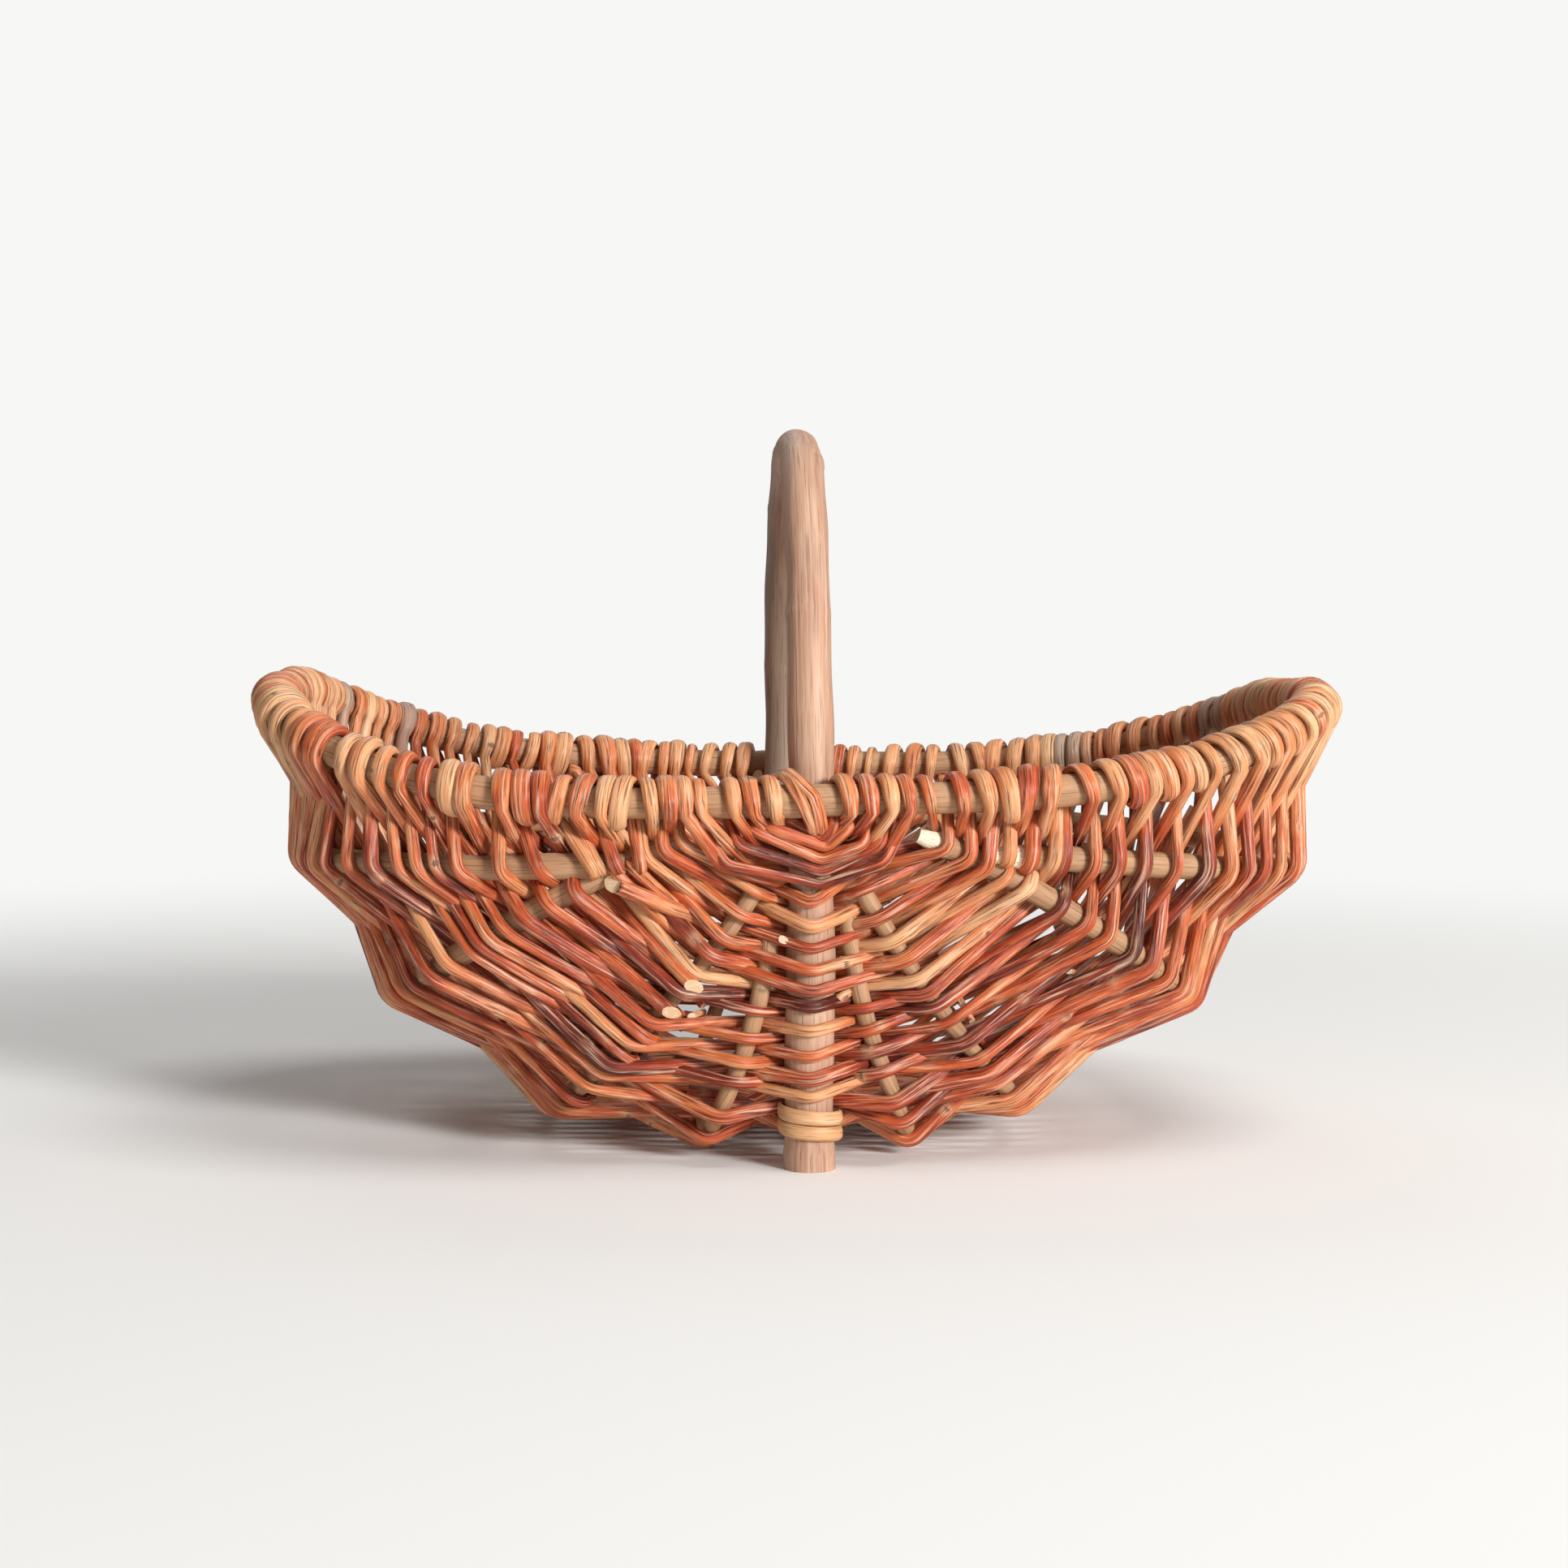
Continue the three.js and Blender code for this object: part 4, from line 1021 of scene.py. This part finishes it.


# A rod along given points. Its wood is frameWood but for the values given.
def frameRod(name, points, radius, seed, material, slot, node, facing=None, closed=False, cut=False, **wood):
    wood = {**frameWood, **wood}
    arc = arcOf(points)
    even = np.linspace(0, arc[-1], int(arc[-1] / wood["step"]) + 1)
    laid = readAt(even, arc, points)
    phase = np.random.default_rng(seed).uniform(0, 6, 4)
    ends = np.clip(np.minimum(even, even[-1] - even) / wood["stillEnd"], 0, 1) ** 2
    if closed:
        ends = np.ones(len(even))
    turnsRound = 2 * math.pi / even[-1]
    for axis in (0, 1, 2):
        swing = np.sin(even * turnsRound * (wood["waves"] + axis) + phase[axis])
        swing = swing + wood["fine"] * np.sin(even * turnsRound * wood["fineWaves"] + phase[3])
        laid[:, axis] += wood["sway"] * wood["wander"] * swing * ends
    thick = np.array([radius(p) if callable(radius) else radius for p in laid])
    tangents = unit(np.gradient(laid, axis=0))
    if facing is None:
        normals = unit(np.cross(tangents, np.array([0, 0, 1.0])))
    else:
        normals = np.broadcast_to(np.array(facing, dtype=float), tangents.shape)
    grey = 0.0
    # The handle's far leg is painted grey: weathered bark and painted shade in one
    if name == "handleBow":
        grey = np.clip((laid[:, 1] - weatheredAndShaded["from"]) / weatheredAndShaded["fade"], 0, 1)
    if cut:
        thick = thick * (1 - whittled["thinner"] * np.clip(1 - even / whittled["length"], 0, 1))
        stand = np.clip(1 - even / whittled["outLength"], 0, 1) ** 1.5
        laid = laid + wayOut(laid) * (whittled["out"] * stand)[:, None]
        grey = 2 * np.clip((whittled["cream"] - even) / whittled["creamFade"], 0, 1)
    rings, grain, scar = willowRings(
        even, laid, normals, thick, thick, seed, wood["sides"], wood["ridges"], wood["joint"], wood["apart"])
    if closed:
        rings[-1] = rings[0]
    bundle = Bundle()
    bundle.addRings(rings, grain, ringLooks(wood["tone"], grey, scar), not closed, not closed)
    bundle.make(name, material, cutEnd, slot, node)


def bowRadius(p):
    low = min(1.0, max(0.0, 1 - p[2] / hoopShape["height"]))
    return bowShape["radius"] + (bowShape["footRadius"] - bowShape["radius"]) * low


frameRod("handleBow", bowPoints(pointCount["leg"]), bowRadius, 5, wornHandle, "handle_wood", "handle_bow",
         facing=(1, 0, 0), **handleWood)
hoopLine = hoopPoints(np.linspace(0, 2 * math.pi, pointCount["hoop"]))
frameRod("rimHoop", hoopLine, hoopShape["radius"] - hoopShape["play"], 6, dryRod, "rod_wood", "rim_hoop",
         closed=True, wander=hoopShape["wander"])
for number, rib in enumerate(ribShapes):
    for side, word in ((-1, "left"), (1, "right")):
        half = rib[word]
        reach = hoopShape["reach"]
        share = (half["start"] * reach - ribSide) / (half["reach"] * reach - ribSide)
        share = share ** (1 / half["flare"])
        power = rib["squareness"]
        angle = math.atan2((1 - share ** power) ** (1 / power), share)
        line = ribPoints(rib, side, np.linspace(-angle, angle, pointCount["rib"]))
        name = "rib%d%s" % (number + 1, word.capitalize())
        frameRod(name, line, rib["radius"], 30 + 2 * number + (side > 0), dryRod, "rod_wood",
                 "%s_%s" % (rib["name"], word), cut=side > 0 and number < 2)
keelAlong = np.linspace(-keelShape["end"], keelShape["end"], pointCount["keel"])
keelLine = np.stack([0 * keelAlong, keelAlong, 0 * keelAlong + keelShape["height"]], axis=1)
frameRod("keelRib", keelLine, keelShape["radius"], 50, dryRod, "rod_wood", "keel_rib")
print("frame rods made")


# Bands on the feet: two turns of a split willow each
footBand = {"thickness": 2.6, "width": 6.0, "pitch": 6.4, "base": 16.5, "turns": 2, "gap": 0.3}
# Two strands side by side from behind the leg over the rim, down its front and in under the first
# rows, each through places in the picture and their depth
earTie = {
    "thickness": 2.3, "width": 5.0,
    "middle": (132, 150),   # how far out and how high the middle lies that the strands go round
    "bend": 1.2,
    "strands": [
        [(934, 972, -104), (944, 962, -118), (956, 957, -130), (965, 954, -138), (974, 964, -145),
         (986, 985, -149.5), (994, 1002, -149), (1001, 1016, -145.5), (1004, 1028, -140)],
        [(939, 967, -101), (949, 958, -116), (961, 953, -129), (970, 951, -138.5), (984, 962, -146),
         (1003, 981, -150), (1009, 999, -149.5), (1012, 1015, -146), (1013, 1027, -140)],
    ],
}


# How a strip is drawn: it narrows over endLength to endWidth, and has no joints
strip = {"step": 1.4, "sides": 14, "ridges": 0.02, "joint": 0, "endWidth": 0.55, "endLength": 6}


def windStrip(name, points, normals, shape, seed, material, slot, node, tone=0.5):
    path = Path()
    for p, n in zip(points, normals):
        path.add(p, n, shape["thickness"] / 2, shape["width"] / 2, 0)
    arc, laid, facing, values = path.laid(strip["step"])
    taper = np.clip(np.minimum(arc, arc[-1] - arc) / strip["endLength"] + strip["endWidth"], 0, 1)
    thick, wide = values[:, 0] * taper, values[:, 1] * taper
    rings, grain, scar = willowRings(
        arc, laid, facing, thick, wide, seed, strip["sides"], strip["ridges"], strip["joint"])
    bundle = Bundle()
    bundle.addRings(rings, grain, ringLooks(tone, 0.0, scar), True, True)
    bundle.make(name, material, cutEnd, slot, node)


for end, word in ((-1, "near"), (1, "far")):
    turn = np.linspace(-footBand["turns"] / 2, footBand["turns"] / 2, pointCount["band"])
    angle = turn * 2 * math.pi
    radius = bowShape["footRadius"] + footBand["gap"] + footBand["thickness"] / 2
    height = footBand["base"] + footBand["pitch"] / 2 + turn * footBand["pitch"]
    out = np.stack([np.sin(angle), -end * np.cos(angle), 0 * angle], axis=1)
    points = out * radius + np.stack([0 * angle, end * bowShape["legY"] + 0 * angle, height], axis=1)
    windStrip("footBand" + word.capitalize(), points, out, footBand, 60 + end, paleSkein, "pale_willow",
              "leg_collar_" + word)

    for number, strand in enumerate(earTie["strands"]):
        points = np.array([placeInPicture(*place) for place in strand])
        points[:, :2] *= -end
        smooth = Path()
        out, high = earTie["middle"]
        for point in points:
            smooth.add(point, unit(point - np.array([0, end * out, high])), 1, 1, earTie["bend"])
        _, points, out, _ = smooth.laid(fineStep)
        windStrip("earTie" + word.capitalize() + "AB"[number], points, out, earTie, 70 + end + 5 * number,
                  buffWillow, "weaver_willow", "ear_lashing_" + word, 0.6)
print("bands and ties made")


# Floor, background and light, in metres and watts. A lamp has its place, size and power.
studio = {
    "background": "#F7F7F5", "floor": "#F4F3F0", "floorSize": 12, "fade": (0.45, 1.3), "worldLight": 0.205,
    "aim": (0, 0, 0.12),
    "lamps": {
        "keyLight": ((2.5, -3.3, 1.4), 1.0, 212),
        "topLight": ((1.0, -0.7, 3.3), 1.4, 39),
        "backLight": ((-0.6, 2.6, 2.4), 2.0, 16),
    },
}


def addStudio():
    world = bpy.data.worlds.new("studioWorld")
    bpy.context.scene.world = world
    world.use_nodes = True
    tree = world.node_tree
    tree.nodes.clear()
    output = addNode(tree, "ShaderNodeOutputWorld")
    seen = addNode(tree, "ShaderNodeBackground", {}, {"Color": linear(studio["background"]), "Strength": 1.0})
    light = addNode(tree, "ShaderNodeBackground", {}, {
        "Color": (1, 1, 1, 1), "Strength": studio["worldLight"]})
    paths = addNode(tree, "ShaderNodeLightPath")
    either = addNode(tree, "ShaderNodeMath", {"operation": "MAXIMUM"}, {
        0: paths.outputs["Is Camera Ray"], 1: paths.outputs["Is Transmission Ray"]})
    mix = addNode(tree, "ShaderNodeMixShader", {}, {
        0: either.outputs[0], 1: light.outputs[0], 2: seen.outputs[0]})
    tree.links.new(mix.outputs[0], output.inputs[0])

    material = bpy.data.materials.new("paintedFloor")
    material.use_nodes = True
    tree = material.node_tree
    tree.nodes.clear()
    output = addNode(tree, "ShaderNodeOutputMaterial")
    matte = addNode(tree, "ShaderNodeBsdfDiffuse", {}, {"Color": linear(studio["floor"])})
    glow = addNode(tree, "ShaderNodeEmission", {}, {"Color": linear(studio["background"]), "Strength": 1.0})
    place = addNode(tree, "ShaderNodeNewGeometry").outputs["Position"]
    distance = addNode(tree, "ShaderNodeVectorMath", {"operation": "LENGTH"}, {0: place}).outputs["Value"]
    fade = addNode(tree, "ShaderNodeMapRange", {"interpolation_type": "SMOOTHSTEP"}, {
        "Value": distance, "From Min": studio["fade"][0], "From Max": studio["fade"][1]}).outputs[0]
    paths = addNode(tree, "ShaderNodeLightPath")
    both = addNode(tree, "ShaderNodeMath", {"operation": "MULTIPLY"}, {
        0: fade, 1: paths.outputs["Is Camera Ray"]})
    mix = addNode(tree, "ShaderNodeMixShader", {}, {
        0: both.outputs[0], 1: matte.outputs[0], 2: glow.outputs[0]})
    tree.links.new(mix.outputs[0], output.inputs[0])
    size = studio["floorSize"] / 2
    mesh = bpy.data.meshes.new("studioFloor")
    corners = [(-size, -size, 0), (size, -size, 0), (size, size, 0), (-size, size, 0)]
    mesh.from_pydata(corners, [], [(0, 1, 2, 3)])
    mesh.materials.append(material)
    floor = bpy.data.objects.new("studioFloor", mesh)
    bpy.context.scene.collection.objects.link(floor)

    for name, (place, size, power) in studio["lamps"].items():
        data = bpy.data.lights.new(name, "AREA")
        data.size = size
        data.energy = power
        lamp = bpy.data.objects.new(name, data)
        lamp.location = place
        lamp.rotation_euler = (Vector(studio["aim"]) - Vector(place)).to_track_quat("-Z", "Y").to_euler()
        bpy.context.scene.collection.objects.link(lamp)


addStudio()
bpy.context.scene.view_settings.view_transform = "Standard"
print("studio set")
